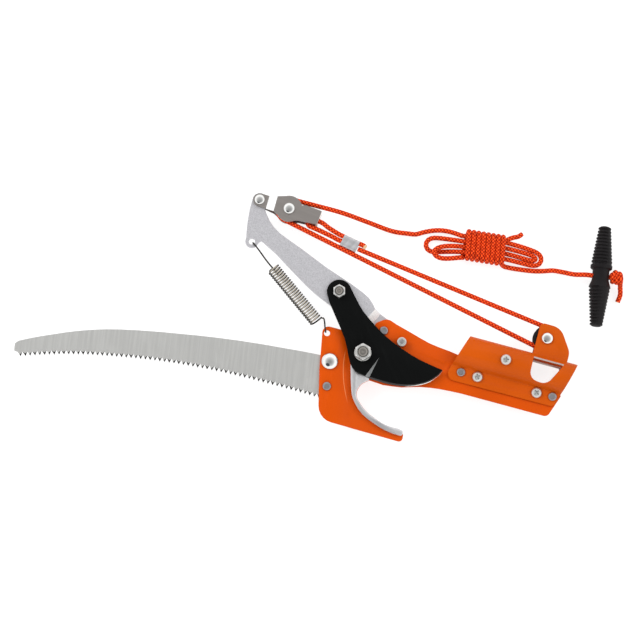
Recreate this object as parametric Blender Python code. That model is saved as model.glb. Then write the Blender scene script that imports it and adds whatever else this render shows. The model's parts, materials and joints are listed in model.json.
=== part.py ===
"""A rope-worked pruning saw head for a pole: curved saw, hooked anvil, swinging blade and pulley block.

It lies flat as it would on a bench. X runs along the pole from the saw to the socket, Y across the
plates and Z up through their thickness. Sizes are in millimetres and measured from the blade's pivot;
the whole assembly is set down on the floor, centred on its box, at the end.
"""

import math

import bmesh
import bpy
from mathutils import Matrix, Vector

MM = 0.001
CLEAR = 0.3  # between pieces that touch or run on each other
TURN = 2 * math.pi

# Main plate, a pressed steel sheet that carries everything
PLATE_T = 2.4
FLANGE_RISE = 1.2  # the saw's flange is pressed up by this much
CREASE = ((-16.4, 4.0), (-2.2, -42.0))  # foot of that step, top and bottom
CREASE_RUN = 1.8

# Layers above the plate
ANVIL_T = 2.9
BLADE_T = 2.9
LEVER_T = 2.9

# Pole socket, two pressed half shells: their bulge starts at its foot and the ears stand on its crown
POLE_R = 12.7
SHELL_T = 1.4
BULGE_FOOT = 11.2
SHELL_IN_R = POLE_R + CLEAR
SHELL_OUT_R = SHELL_IN_R + SHELL_T
SOCKET_Y = BULGE_FOOT + SHELL_OUT_R
CROWN_Y = SOCKET_Y + SHELL_OUT_R
SHELL_FLANGE_LOW = -2.1

# Pivots and fixings, in plan
PIVOT = (0.0, 0.0)
LEVER_PIVOT = (12.5, 24.6)
LINK = (-33.9, 46.7)
STOP = (30.2, 18.4)
SAW_BOLT = (-25.8, -14.0)
SAW_RIVET = (-22.6, -35.8)
PLATE_SPRING_HOLE = (-34.7, 9.4)
LUG_SPRING_HOLE = (-120.0, 70.5)
LEVER_END = (-123.3, 108.3)
FRONT_AXLE = (-95.9, 106.8)
REAR_AXLE = (151.5, CROWN_Y + 14.8)
FLANGE_RIVETS = ((86.6, 6.7), (168.3, 6.9))
FLANGE_SCREWS = ((101.4, 6.5), (154.2, 6.5))
POLE_SCREW = (120.8, SOCKET_Y)
POLE_SCREW_TIP = POLE_R - 3.5  # its height: it bites into the pole

# Fixings' own sizes
PIVOT_BOLT_R, PIVOT_NUT_FLATS, PIVOT_NUT_H = 4.0, 13.0, 5.6
LINK_BOLT_R, LINK_NUT_FLATS, LINK_NUT_H = 3.0, 10.0, 4.6
WASHER_R, WASHER_T = 7.4, 1.0
RIVET_R, RIVET_HEAD_R, RIVET_HEAD_H = 2.0, 3.7, 1.3
SCREW_R, SCREW_HEAD_R, SCREW_HEAD_H = 2.3, 4.6, 2.5
STOP_COLLAR_R = 4.0
SMALL_NUT_FLATS, SMALL_NUT_H = 8.0, 3.6
DOME_R, DOME_H = 7.3, 3.0
AXLE_R, AXLE_HEAD_R, AXLE_HEAD_H = 2.5, 4.9, 2.2
SPRING_HOLE_R = 2.7

# Motion
LEVER_SWING = math.radians(71)  # rope pulled right in
BLADE_RATIO = 0.72

# Saw
SAW_T = 1.3
TOOTH_PITCH = 4.2
TOOTH_DEPTH = 3.9
TOOTH_LEAN = 0.62  # the tip's place along its pitch: the teeth lean towards the pole and cut on the pull
TOOTH_BEVEL = 2.2  # how far the ground face of each tooth runs back from its tip

# Pulleys and rope
ROPE_R = 2.1
SHEAVE_GROOVE_R = 7.5
FRONT_SHEAVE_R, REAR_SHEAVE_R = 11.0, 12.0
SHEAVE_T = 7.4
STRAP_T = 1.5
STRAP_R = 11.7
STRAP_GAP = SHEAVE_T + 2 * CLEAR
EAR_GAP = SHEAVE_T + 4 * CLEAR  # between the two ears that hold the rear sheave
STRAP_TAB_R = 5.8

# Return spring
WIRE_R = 0.6
COIL_R = 5.5
COIL_TURNS = 25
COIL_POINTS = 7
COIL_ENDS = ((-46.4, 16.9), (-95.0, 51.8))

# Pull handle
HANDLE_CENTRE = (184.3, 123.0)
HANDLE_END = (177.6, 167.6)
HANDLE_TIP_R, HANDLE_RIM_R, HANDLE_NECK_R = 5.6, 9.6, 7.4
HANDLE_NECK, HANDLE_RIM = 7.0, 10.0  # half length of the neck, and where the rim ends
HANDLE_RIBS = 11
RIB_DEPTH = 1.1

# Heights that follow from the layers
PLATE_LOW, PLATE_HIGH = -PLATE_T / 2, PLATE_T / 2
ANVIL_LOW = PLATE_HIGH + CLEAR
ANVIL_HIGH = ANVIL_LOW + ANVIL_T
BLADE_LOW = ANVIL_HIGH + CLEAR
BLADE_HIGH = BLADE_LOW + BLADE_T
LEVER_LOW = ANVIL_LOW
LEVER_HIGH = LEVER_LOW + LEVER_T
LEVER_MID = (LEVER_LOW + LEVER_HIGH) / 2
LEVER_DROP = LEVER_HIGH - PLATE_LOW + CLEAR
FLANGE_LOW = PLATE_LOW + FLANGE_RISE
FLANGE_HIGH = PLATE_HIGH + FLANGE_RISE
SAW_HIGH = FLANGE_LOW - CLEAR
SAW_LOW = SAW_HIGH - SAW_T
SHELL_LOW = PLATE_HIGH + CLEAR
SHELL_HIGH = SHELL_LOW + SHELL_T
FLOOR = -SHELL_OUT_R
ROPE_RUN_R = SHEAVE_GROOVE_R + CLEAR + ROPE_R
ROPE_FLOOR = FLOOR + ROPE_R

# Outlines, as corners (x, y, fillet radius) or as points on a smooth edge
PLATE_LEFT = ((-23.0, 15.6, 3.0), (-40.2, 15.6, 5.5), (-32.6, -23.6, 60.0), (-22.5, -65.0, 15.0))
PLATE_TIP = ((52.8, -65.7, 3.2), (52.2, -58.6, 1.4))
HOOK_INNER = (
    (47.0, -55.0),
    (39.5, -55.0),
    (30.9, -53.6),
    (16.6, -47.8),
    (6.0, -39.3),
    (3.9, -33.0),
    (6.0, -26.0),
    (11.6, -20.8),
)
ARM_LOWER = ((24.0, -21.6), (40.0, -19.4), (55.3, -14.8), (72.9, -12.0), (92.0, -10.9))
ARM_END = (
    (168.5, -10.9, 4.5),
    (176.0, 10.6, 1.5),
    (90.0, 10.6, 3.0),
    (84.5, 20.6, 2.0),
)
ARM_UPPER = ((72.0, 22.4), (54.3, 24.4), (34.9, 29.6), (22.0, 33.0))
PLATE_SHOULDER = ((12.8, 36.2, 8.0), (4.2, 29.6, 3.0), (3.0, 22.5, 4.0), (-3.0, 15.8, 5.0))

ANVIL_OUTER = (
    (-8.6, -9.0),
    (-6.5, -16.5),
    (-2.7, -29.3),
    (2.1, -40.5),
    (13.2, -51.3),
    (31.6, -58.7),
    (43.5, -60.8),
)
ANVIL_TIP = ((51.8, -61.0, 2.2), (51.2, -56.2, 1.8))

BLADE_LEFT = (
    (-38.7, 34.3),
    (-30.8, 24.2),
    (-19.5, 9.6),
    (-14.6, 1.0),
    (-8.5, -11.1),
    (-2.6, -16.9),
    (5.6, -18.6),
)
SAP_GROOVE = ((6.4, -18.9, 0.0), (9.6, -19.6, 0.0))
BLADE_EDGE = (
    (12.2, -20.2),
    (29.3, -20.4),
    (42.5, -18.6),
    (54.0, -14.6),
    (62.9, -9.0),
    (69.0, -1.8),
)
BLADE_TIP = (71.4, 3.2)
BLADE_BACK = (
    (66.2, 4.2),
    (49.6, 7.0),
    (32.3, 12.2),
    (14.8, 19.6),
    (3.6, 26.4),
    (-8.8, 35.2),
    (-15.2, 41.5),
)
BLADE_TAIL_R = 10.8
EDGE_GRIND = 1.5  # width of the ground bevel along the cutting edge

LEVER_LUG_R = 5.9
LEVER_TIP_R = 6.6
LEVER_FOOT_R = 10.6
LEVER_LEFT = ((-129.7, 98.0), (-128.4, 86.0), (-126.3, 74.5))
LEVER_THROAT = ((-113.4, 71.6), (-111.6, 72.8), (-107.4, 70.8))
LEVER_LOWER = ((-96.9, 65.6), (-74.3, 51.7), (-53.6, 39.9), (-30.0, 30.2), (-6.0, 22.4))
LEVER_UPPER = (
    (0.3, 40.9),
    (-7.7, 49.0),
    (-26.1, 57.0),
    (-50.7, 65.4),
    (-75.6, 75.6),
    (-98.4, 84.3),
    (-109.7, 92.5),
    (-116.6, 101.4),
)
JOGGLE_START, JOGGLE_END = 11.8, 17.9  # distance from the lever's pivot to the foot and head of its step

SAW_BACK = (
    (-22.0, -9.6),
    (-53.5, -11.6),
    (-106.4, -16.8),
    (-158.6, -24.6),
    (-210.2, -34.8),
    (-243.6, -45.1),
    (-275.9, -59.1),
    (-292.6, -67.6),
)
SAW_NOSE = ((-295.4, -70.6, 2.0), (-294.2, -76.8, 1.5))
SAW_TEETH_LINE = (
    (-289.6, -81.2),
    (-254.4, -69.8),
    (-220.5, -61.6),
    (-168.6, -52.7),
    (-115.6, -48.0),
    (-61.7, -46.9),
    (-21.0, -47.3),
)
SAW_HEEL = ((-8.5, -46.0, 3.0), (-17.0, -9.4, 3.0))

SHELL_PLAN = (
    (86.7, CROWN_Y + 20.0, 0.0),
    (86.7, CROWN_Y + 0.1, 0.0),
    (73.1, SHELL_FLANGE_LOW, 6.5),
    (171.6, SHELL_FLANGE_LOW + 0.7, 5.0),
    (182.9, CROWN_Y + 0.1, 0.0),
    (182.9, CROWN_Y + 20.0, 0.0),
)
WINDOW_TOP = CROWN_Y - 5.6
WINDOW = ((143.6, WINDOW_TOP, 0.8), (143.8, 16.0, 7.5), (160.4, 14.6, 9.0), (170.6, WINDOW_TOP, 1.2))
EAR_FOOT = SOCKET_Y + math.sqrt(SHELL_OUT_R**2 - (EAR_GAP / 2 + SHELL_T) ** 2) - 0.52  # rooted in the bulge
EAR = (
    (142.8, EAR_FOOT, 0.0),
    (142.8, CROWN_Y + 27.2, 4.0),
    (160.8, CROWN_Y + 27.0, 13.0),
    (173.2, CROWN_Y + 8.0, 12.0),
    (173.2, EAR_FOOT, 0.0),
)

STRAP_PLAN_TOP = ((-116.0, 113.8), (-107.6, 115.2))
STRAP_PLAN_BOTTOM = ((-108.4, 101.0), (-117.0, 102.0))
STRAP_NOSE = ((-82.6, 113.6, 2.0), (-67.4, 112.2, 0.8), (-68.6, 99.2, 0.8), (-85.6, 98.6, 2.0))
STRAP_BEND = (-115.8, -108.6)  # foot and head of the cheeks' step towards the lever
EYE_HOLE = (-68.4, 103.9)

# The rope's own route, from points chosen by hand (x, y, height of its centre over the floor)
SLACK_ROUTE = (
    (-72.0, 116.8, 15.4),
    (-48.0, 116.8, 11.6),
    (-24.0, 116.0, 7.6),
    (-4.0, 115.2, 4.2),
    (11.0, 117.4, 2.4),
)
LEAD_ROUTE = ((144.0, 119.6, 2.2), (153.0, 118.6, 3.4), (162.0, 119.0, 7.0))
TAIL_ROUTE = ((203.4, 120.0, 6.2), (205.6, 113.0, 3.6), (205.0, 106.0, 2.4))

HANK_CENTRE = (78.8, 121.8)
HANK_ANGLE = math.radians(5.8)
HANK_WRAPS = 7
HANK_WRAP_PITCH = 5.0
HANK_GAP = 0.7  # between strands that lie side by side
LOOP_POINTS, BEND_POINTS = 10, 6  # in each half turn of a loop, and round the waist
HANK_ENTRY = ((-56.0, 5.4, 2.2), (-46.0, 9.4, 2.3), (-36.0, 10.6, 2.6), (-26.0, 9.4, 4.4))
HANK_CROSSING = ((-25.0, -3.4, 8.4), (-31.5, -8.6, 10.4), (-30.0, -15.4, 9.4), (-23.0, -15.6, 8.0))
HANK_EXIT = ((24.0, -14.4, 5.2), (31.0, -16.6, 2.4), (42.0, -16.0, 2.2), (51.0, -10.6, 2.2))
HANK_LOOSE_END = ((20.0, 12.1, 7.6), (24.5, 13.1, 7.6), (28.5, 14.8, 6.8), (31.5, 17.8, 5.6))

FERRULE_CENTRE, FERRULE_WAY = (-36.0, 92.6), (15.9, -2.9)
FERRULE_WALL = 0.8  # round the two strands that it closes on
FERRULE_L, FERRULE_W, FERRULE_T = 16.1, 4 * ROPE_R + 2 * CLEAR + FERRULE_WALL, 2 * (ROPE_R + FERRULE_WALL)
EYE_ROUTE = (
    (-58.5, 100.6),
    (-64.5, 103.2),
    (-71.0, 103.7),
    (-76.5, 101.4),
    (-75.6, 97.9),
    (-69.5, 96.7),
    (-60.0, 95.0),
    (-52.0, 93.4),
)
STUB_END = (-22.5, 91.7)
STUB_RISE = 2.2  # its cut end lies up on the rope beside it

KNOT_R = 6.4
KNOT_REACH = 14.4  # from the handle's middle to the knot's
KNOT_HALF = 5.5  # the knot's own half length along the rope


def circle(centre, radius, steps=24, start=0.0, sweep=TURN):
    """Points round a circle, or along an arc of it with both ends."""
    count = steps if abs(sweep) >= TURN else steps + 1
    return [
        (
            centre[0] + radius * math.cos(start + sweep * k / steps),
            centre[1] + radius * math.sin(start + sweep * k / steps),
        )
        for k in range(count)
    ]


def smooth(points, steps=4):
    """A smooth curve through the points, each stretch cut into equal steps."""
    knots = [Vector(p) for p in points]
    knots = [2 * knots[0] - knots[1]] + knots + [2 * knots[-1] - knots[-2]]
    curve = []
    for a, b, c, d in zip(knots, knots[1:], knots[2:], knots[3:]):
        for k in range(steps):
            t = k / steps
            curve.append(
                0.5
                * (
                    2 * b
                    + (c - a) * t
                    + (2 * a - 5 * b + 4 * c - d) * t**2
                    + (3 * b - a - 3 * c + d) * t**3
                )
            )
    curve.append(knots[-2])
    return [tuple(p) for p in curve]


def rounded(corners, before, after, steps=5):
    """Corners with their fillets, between the point before the first and the point after the last."""
    line = [Vector(before[:2])] + [Vector(c[:2]) for c in corners] + [Vector(after[:2])]
    out = []
    for k, (_, _, radius) in enumerate(corners):
        here, back, on = line[k + 1], line[k] - line[k + 1], line[k + 2] - line[k + 1]
        turn = math.pi - back.angle(on)
        reach = radius * math.tan(turn / 2)
        if radius == 0 or reach < 1e-3:
            out.append(tuple(here))
            continue
        start = here + back.normalized() * reach
        end = here + on.normalized() * reach
        middle = here + (back.normalized() + on.normalized()).normalized() * radius / math.cos(turn / 2)
        first, last = start - middle, end - middle
        angle = first.angle_signed(last)
        for j in range(steps + 1):
            out.append(tuple(middle + Matrix.Rotation(-angle * j / steps, 2) @ first))
    return out


def closed(corners, steps=5):
    """A closed outline of corners with their fillets."""
    return rounded(corners, corners[-1], corners[0], steps)


def along(points, step):
    """The same line with points at an even spacing."""
    line = [Vector(p) for p in points]
    spans = [(b - a).length for a, b in zip(line, line[1:])]
    total = sum(spans)
    count = max(2, round(total / step))
    out, index, passed = [], 0, 0.0
    for k in range(count + 1):
        want = total * k / count
        while index < len(spans) - 1 and passed + spans[index] < want:
            passed += spans[index]
            index += 1
        share = (want - passed) / spans[index]
        out.append(line[index].lerp(line[index + 1], min(share, 1.0)))
    return out


def trimmed(points, start, end):
    """The line less a length at each of its ends."""
    line = [Vector(p) for p in points]
    for cut in (start, end):
        while cut > 0 and (line[1] - line[0]).length <= cut:
            cut -= (line[1] - line[0]).length
            line.pop(0)
        if cut > 0:
            line[0] = line[0] + (line[1] - line[0]).normalized() * cut
        line.reverse()
    return line


def ring(bm, points, z):
    """A closed ring of edges at one height."""
    verts = [bm.verts.new((x, y, z)) for x, y in points]
    return [bm.edges.new((a, b)) for a, b in zip(verts, verts[1:] + verts[:1])]


def plate(outline, low, high, holes=()):
    """A flat plate with holes, each of them (centre, radius) or an outline."""
    bm = bmesh.new()
    edges = ring(bm, outline, low)
    for hole in holes:
        edges += ring(bm, circle(*hole, 16) if isinstance(hole[1], float) else hole, low)
    bmesh.ops.triangle_fill(bm, use_beauty=True, use_dissolve=False, edges=edges, normal=(0, 0, 1))
    raised = bmesh.ops.extrude_face_region(bm, geom=bm.faces[:])
    verts = [v for v in raised["geom"] if isinstance(v, bmesh.types.BMVert)]
    bmesh.ops.translate(bm, vec=(0, 0, high - low), verts=verts)
    bmesh.ops.recalc_face_normals(bm, faces=bm.faces)
    return bm


def turned(profile, centre, segments=20):
    """A round piece on an upright axis, from (radius, height) points that start and end on the axis."""
    bm = bmesh.new()
    verts = [bm.verts.new((centre[0] + r, centre[1], z)) for r, z in profile]
    edges = [bm.edges.new(pair) for pair in zip(verts, verts[1:])]
    bmesh.ops.spin(
        bm,
        geom=verts + edges,
        cent=(*centre, 0),
        axis=(0, 0, 1),
        angle=TURN,
        steps=segments,
        use_merge=True,
    )
    bmesh.ops.remove_doubles(bm, verts=bm.verts, dist=1e-3)
    bmesh.ops.recalc_face_normals(bm, faces=bm.faces)
    return bm


def step_sheet(bm, foot, direction, run, rise, reach=math.inf):
    """Press part of a sheet up: past the foot line, by a slope that lasts for the run."""
    foot, direction = Vector((*foot, 0)), Vector((*direction, 0)).normalized()
    for distance in (0.0, run):
        bmesh.ops.bisect_plane(
            bm,
            geom=bm.verts[:] + bm.edges[:] + bm.faces[:],
            dist=1e-4,
            plane_co=foot + direction * distance,
            plane_no=direction,
        )
    for vert in bm.verts:
        past = (Vector((*vert.co.xy, 0)) - foot).dot(direction)
        if past < reach:
            vert.co.z += rise * min(max(past / run, 0.0), 1.0)


def material(name, colour, roughness, metallic):
    """A plain finish."""
    made = bpy.data.materials.new(name)
    made.use_nodes = True
    shader = made.node_tree.nodes["Principled BSDF"]
    shader.inputs["Base Color"].default_value = (*colour, 1.0)
    shader.inputs["Roughness"].default_value = roughness
    shader.inputs["Metallic"].default_value = metallic
    return made


def add(name, data, finish, parent):
    """An object of the assembly, from a bmesh in millimetres or ready data in metres."""
    if isinstance(data, bmesh.types.BMesh):
        bmesh.ops.scale(data, vec=(MM, MM, MM), verts=data.verts)
        mesh = bpy.data.meshes.new(name)
        data.to_mesh(mesh)
        data.free()
        mesh.set_sharp_from_angle(angle=math.radians(35))
        data = mesh
    made = bpy.data.objects.new(name, data)
    data.materials.append(finish)
    bpy.context.collection.objects.link(made)
    made.parent = parent
    return made


def boolean(target, operation, bm, name):
    """Cut a piece with, join it to or keep it inside another shape, which isn't a piece itself."""
    tool = add(name, bm, bpy.data.materials[0], target.parent)
    tool.hide_render = True
    tool.display_type = "WIRE"
    modifier = target.modifiers.new(name, "BOOLEAN")
    modifier.operation = operation
    modifier.object = tool


def wire(name, points, radius, finish, parent, resolution=2):
    """A tube along a line, with its ends filled."""
    curve = bpy.data.curves.new(name, "CURVE")
    curve.dimensions = "3D"
    curve.bevel_depth = radius * MM
    curve.bevel_resolution = resolution
    curve.use_fill_caps = True
    spline = curve.splines.new("POLY")
    spline.points.add(len(points) - 1)
    for point, place in zip(spline.points, points):
        point.co = (*(Vector(place) * MM), 1.0)
    return add(name, curve, finish, parent)


def least_gap(points, radius, skip):
    """The smallest gap that a tube leaves to itself, between points more than the skipped length apart."""
    line = along(points, radius)
    far = max(1, math.ceil(skip / radius))
    nearest = min(
        (a - b).length for k, a in enumerate(line) for b in line[k + far :]
    )
    return nearest - 2 * radius


def rivet(name, centre, low, high, shank_r, head_r, head_h, finish, parent):
    """A rivet through a stack: a shank, a closed head on top and a flatter one below."""
    low, high = low - CLEAR, high + CLEAR
    profile = [(0, low - 0.7 * head_h), (0.7 * head_r, low - 0.7 * head_h), (0.9 * head_r, low)]
    profile += [(shank_r, low), (shank_r, high), (head_r, high), (head_r, high + 0.4 * head_h)]
    profile += [(0.8 * head_r, high + head_h), (0, high + head_h)]
    return add(name, turned(profile, centre, 16), finish, parent)


def stop_pin(finish, parent):
    """The pin that the blade's back meets when it is open: riveted below, with a collar above."""
    low, high = PLATE_LOW - CLEAR, PLATE_HIGH + CLEAR
    profile = [(0, low - 0.9), (0.7 * RIVET_HEAD_R, low - 0.9), (0.9 * RIVET_HEAD_R, low)]
    profile += [(RIVET_R, low), (RIVET_R, high), (STOP_COLLAR_R, high)]
    profile += [(STOP_COLLAR_R, BLADE_HIGH - 0.4), (STOP_COLLAR_R - 0.5, BLADE_HIGH)]
    profile += [(RIVET_R, BLADE_HIGH), (RIVET_R - 0.3, BLADE_HIGH + 0.6), (0, BLADE_HIGH + 0.6)]
    return add("stop_pin", turned(profile, STOP, 16), finish, parent)


def saw_bolt(finish, parent):
    """The domed bolt through the saw and its flange, with its end below for a nut."""
    top, end = FLANGE_HIGH + CLEAR, SAW_LOW - CLEAR - LINK_NUT_H - 1.0
    profile = [(0, end), (LINK_BOLT_R - 0.5, end), (LINK_BOLT_R, end + 0.5), (LINK_BOLT_R, top)]
    for step in range(6):
        angle = math.pi / 2 * step / 6
        profile.append((DOME_R * math.cos(angle), top + 0.4 * (step > 0) + DOME_H * math.sin(angle)))
    profile.append((0, top + 0.4 + DOME_H))
    return add("saw_bolt", turned(profile, SAW_BOLT, 28), finish, parent)


def nut(name, centre, flats, bolt_r, seat, height, finish, parent):
    """A plain hexagon nut with its outer corners turned off; a negative height faces it down."""
    corner = flats / 2 / math.cos(math.pi / 6)
    low, high = sorted((seat, seat + height))
    bm = plate(circle(centre, corner, 6), low, high, [(centre, bolt_r + CLEAR)])
    made = add(name, bm, finish, parent)
    way = math.copysign(1, height)
    chamfer = seat + height - way * 0.12 * corner
    dish = [(0, seat - way), (corner + 0.05, seat - way), (corner + 0.05, chamfer)]
    dish += [(0.84 * corner, seat + height + way * 0.2), (0, seat + height + way * 0.2)]
    boolean(made, "INTERSECT", turned(dish, centre, 24), name + "_turning")
    return made


def bolt(name, centre, flats, shank_r, head_high, head_h, top, finish, parent):
    """A hexagon bolt whose head is below and whose shank ends at the top height."""
    corner = flats / 2 / math.cos(math.pi / 6)
    made = add(name, plate(circle(centre, corner, 6), head_high - head_h, head_high), finish, parent)
    shank = [(0, head_high - head_h / 2), (shank_r, head_high - head_h / 2), (shank_r, top - 0.6)]
    shank += [(shank_r - 0.6, top), (0, top)]
    boolean(made, "UNION", turned(shank, centre, 16), name + "_shank")
    return made


def screw(name, centre, top, tip, finish, parent):
    """A pan head screw with a cross recess, its head seated at the top height."""
    profile = [(0, tip), (SCREW_R * 0.6, tip), (SCREW_R, tip + 1.0), (SCREW_R, top)]
    for step in range(4):
        angle = math.pi / 2 * step / 4
        profile.append((SCREW_HEAD_R * math.cos(angle) ** 0.6, top + SCREW_HEAD_H * math.sin(angle)))
    profile.append((0, top + SCREW_HEAD_H))
    made = add(name, turned(profile, centre, 16), finish, parent)
    arm, half = 2.6, 0.5
    cross = []
    for quarter in range(4):
        spin = Matrix.Rotation(math.pi / 2 * quarter, 2)
        for x, y in ((arm, -half), (arm, half), (half, half)):
            cross.append(tuple(Vector(centre) + spin @ Vector((x, y))))
    boolean(made, "DIFFERENCE", plate(cross, top + 0.9, top + 4.0), name + "_recess")
    return made


def main_plate(finish, parent):
    """The pressed plate: saw flange, hook and arm, with the step beside the anvil."""
    left = rounded(PLATE_LEFT, PLATE_SHOULDER[-1], PLATE_TIP[0])
    tip = rounded(PLATE_TIP, PLATE_LEFT[-1], HOOK_INNER[0])
    lower = smooth(HOOK_INNER, 3) + smooth(ARM_LOWER, 2)
    end = rounded(ARM_END, ARM_LOWER[-1], ARM_UPPER[0])
    shoulder = rounded(PLATE_SHOULDER, ARM_UPPER[-1], PLATE_LEFT[0])
    outline = left + tip + lower + end + smooth(ARM_UPPER, 2) + shoulder
    holes = [(PIVOT, PIVOT_BOLT_R + CLEAR), (LEVER_PIVOT, RIVET_R + 0.6 + CLEAR), (STOP, RIVET_R + CLEAR)]
    holes += [(SAW_BOLT, LINK_BOLT_R + CLEAR), (SAW_RIVET, RIVET_R + CLEAR)]
    holes += [(PLATE_SPRING_HOLE, SPRING_HOLE_R)]
    holes += [(place, RIVET_R + CLEAR) for place in FLANGE_RIVETS]
    holes += [(place, SCREW_R + CLEAR) for place in FLANGE_SCREWS]
    bm = plate(outline, PLATE_LOW, PLATE_HIGH, holes)
    top, bottom = Vector(CREASE[0]), Vector(CREASE[1])
    across = (bottom - top).orthogonal().normalized()
    if across.x > 0:
        across = -across
    step_sheet(bm, CREASE[0], across, CREASE_RUN, FLANGE_RISE)
    return add("main_plate", bm, finish, parent)


def anvil_hook(finish, parent):
    """The hooked anvil that the branch is cut against, bolted under the blade."""
    around = circle(PIVOT, 11.0, 10, math.radians(-35), math.radians(235))
    outline = smooth(ANVIL_OUTER, 3) + rounded(ANVIL_TIP, ANVIL_OUTER[-1], HOOK_INNER[0])
    inner = [(x - CLEAR, y - CLEAR) for x, y in smooth(HOOK_INNER, 3)]
    bm = plate(outline + inner + around, ANVIL_LOW, ANVIL_HIGH, [(PIVOT, PIVOT_BOLT_R + CLEAR)])
    return add("anvil_hook", bm, finish, parent)


def cutting_blade(finish, parent):
    """The swinging blade, with its tail, its sap groove and the ground bevel of its edge."""
    edge = smooth(BLADE_EDGE, 3)
    tail = circle(LINK, BLADE_TAIL_R, 12, math.radians(30), math.radians(172))
    outline = smooth(BLADE_LEFT, 2) + [corner[:2] for corner in SAP_GROOVE] + edge
    outline += [BLADE_TIP] + smooth(BLADE_BACK, 2) + tail
    holes = [(PIVOT, PIVOT_BOLT_R + CLEAR), (LINK, LINK_BOLT_R + CLEAR)]
    bm = plate(outline, BLADE_LOW, BLADE_HIGH, holes)
    ends = [Vector(point) for point in edge + [BLADE_TIP]]
    for k, here in enumerate(ends):
        back, on = ends[max(k - 1, 0)], ends[min(k + 1, len(ends) - 1)]
        inward = (on - back).orthogonal().normalized()
        if inward.y < 0:
            inward = -inward
        for vert in bm.verts:
            if vert.co.z > BLADE_HIGH - 0.01 and (vert.co.xy - here).length < 1e-4:
                vert.co.xy += inward * EDGE_GRIND
    groove = [(6.2, -22.0), (10.4, -22.0), (15.0, 0.8)]
    made = add("cutting_blade", bm, finish, parent)
    boolean(made, "DIFFERENCE", plate(groove, BLADE_HIGH - 0.8, BLADE_HIGH + 1), "sap_groove")
    return made


def link_path(steps):
    """The link bolt's place in the lever, from open to shut, as the blade turns at its own ratio."""
    places = []
    for k in range(steps + 1):
        swing = LEVER_SWING * k / steps
        place = Matrix.Rotation(-swing * BLADE_RATIO, 2) @ Vector(LINK)
        centre = Vector(LEVER_PIVOT)
        places.append(Matrix.Rotation(swing, 2) @ (place - centre) + centre)
    return places


def slot_outline(path, radius):
    """A slot of one width along a path."""
    sides = ([], [])
    for k, here in enumerate(path):
        way = (path[min(k + 1, len(path) - 1)] - path[max(k - 1, 0)]).normalized()
        across = Vector((-way.y, way.x)) * radius
        sides[0].append(tuple(here + across))
        sides[1].append(tuple(here - across))
    out = []
    for end, side, sign in ((path[-1], sides[0], 1), (path[0], sides[1][::-1], -1)):
        out += side
        first = Vector(side[-1]) - end
        for j in range(1, 6):
            out.append(tuple(end + Matrix.Rotation(-math.pi * j / 6, 2) @ first))
    return out


def lever_arm(finish, parent):
    """The lever: rope end, spring lug, link slot, and the step that takes its foot behind the plate."""
    away = (Vector(LINK) - Vector(LEVER_PIVOT)).normalized()
    heading = math.atan2(away.y, away.x)
    foot = circle(LEVER_PIVOT, LEVER_FOOT_R, 10, heading + math.pi * 0.52, math.pi * 0.96)
    tip = circle(LEVER_END, LEVER_TIP_R, 8, math.radians(0), math.radians(190))
    lug = circle(LUG_SPRING_HOLE, LEVER_LUG_R, 8, math.radians(165), math.radians(195))
    outline = tip + smooth(LEVER_LEFT, 2) + lug + smooth(LEVER_THROAT, 2) + smooth(LEVER_LOWER, 2)
    outline += foot + smooth(LEVER_UPPER, 2)
    holes = [(LEVER_PIVOT, RIVET_R + 0.6 + CLEAR), (LEVER_END, AXLE_R + CLEAR)]
    holes += [(LUG_SPRING_HOLE, SPRING_HOLE_R), slot_outline(link_path(10), LINK_BOLT_R + CLEAR)]
    bm = plate(outline, LEVER_LOW - LEVER_DROP, LEVER_HIGH - LEVER_DROP, holes)
    start = Vector(LEVER_PIVOT) + away * JOGGLE_START
    step_sheet(bm, start, away, JOGGLE_END - JOGGLE_START, LEVER_DROP)
    return add("lever_arm", bm, finish, parent)


def saw_blade(finish, parent):
    """The curved saw, with teeth that lean towards the pole and are ground on alternate faces."""
    line = along(smooth(SAW_TEETH_LINE, 8), TOOTH_PITCH)
    teeth = []
    for k, (root, after) in enumerate(zip(line, line[1:])):
        way = (after - root).normalized()
        inward = Vector((-way.y, way.x))
        teeth.append((root + inward * TOOTH_DEPTH, None, inward))
        teeth.append((root.lerp(after, TOOTH_LEAN), k % 2, inward))
    back = smooth(SAW_BACK, 3)
    nose = rounded(SAW_NOSE, back[-1], line[0])
    heel = rounded(SAW_HEEL, line[-1], back[0])
    outline = back + nose + [tuple(place) for place, _, _ in teeth] + heel
    holes = [(SAW_BOLT, LINK_BOLT_R + CLEAR), (SAW_RIVET, RIVET_R + CLEAR)]
    bm = plate(outline, SAW_LOW, SAW_HIGH, holes)
    tips = [(place, face, inward) for place, face, inward in teeth if face is not None]
    for vert in bm.verts:
        for place, face, inward in tips:
            if (vert.co.xy - place).length < 1e-3 and (vert.co.z > SAW_HIGH - 0.01) == bool(face):
                vert.co.xy += inward * TOOTH_BEVEL
                break
    return add("saw_blade", bm, finish, parent)


def shell_profile(radius_in, radius_out):
    """The section of a half shell, flange and bulge, as a closed outline in (y, z)."""
    start, end = math.radians(166), math.radians(2.5)
    outer = circle((SOCKET_Y, 0.0), radius_out, 18, start, end - start)
    inner = circle((SOCKET_Y, 0.0), radius_in, 18, end, start - end)
    flange = (SHELL_FLANGE_LOW - 20.0, SHELL_LOW), (SHELL_FLANGE_LOW - 20.0, SHELL_HIGH)
    bend_out = (outer[0][0] - 0.8, SHELL_HIGH)
    bend_in = (inner[-1][0] - 0.2, SHELL_LOW)
    return [flange[1], bend_out] + outer + inner + [bend_in, flange[0]]


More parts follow.
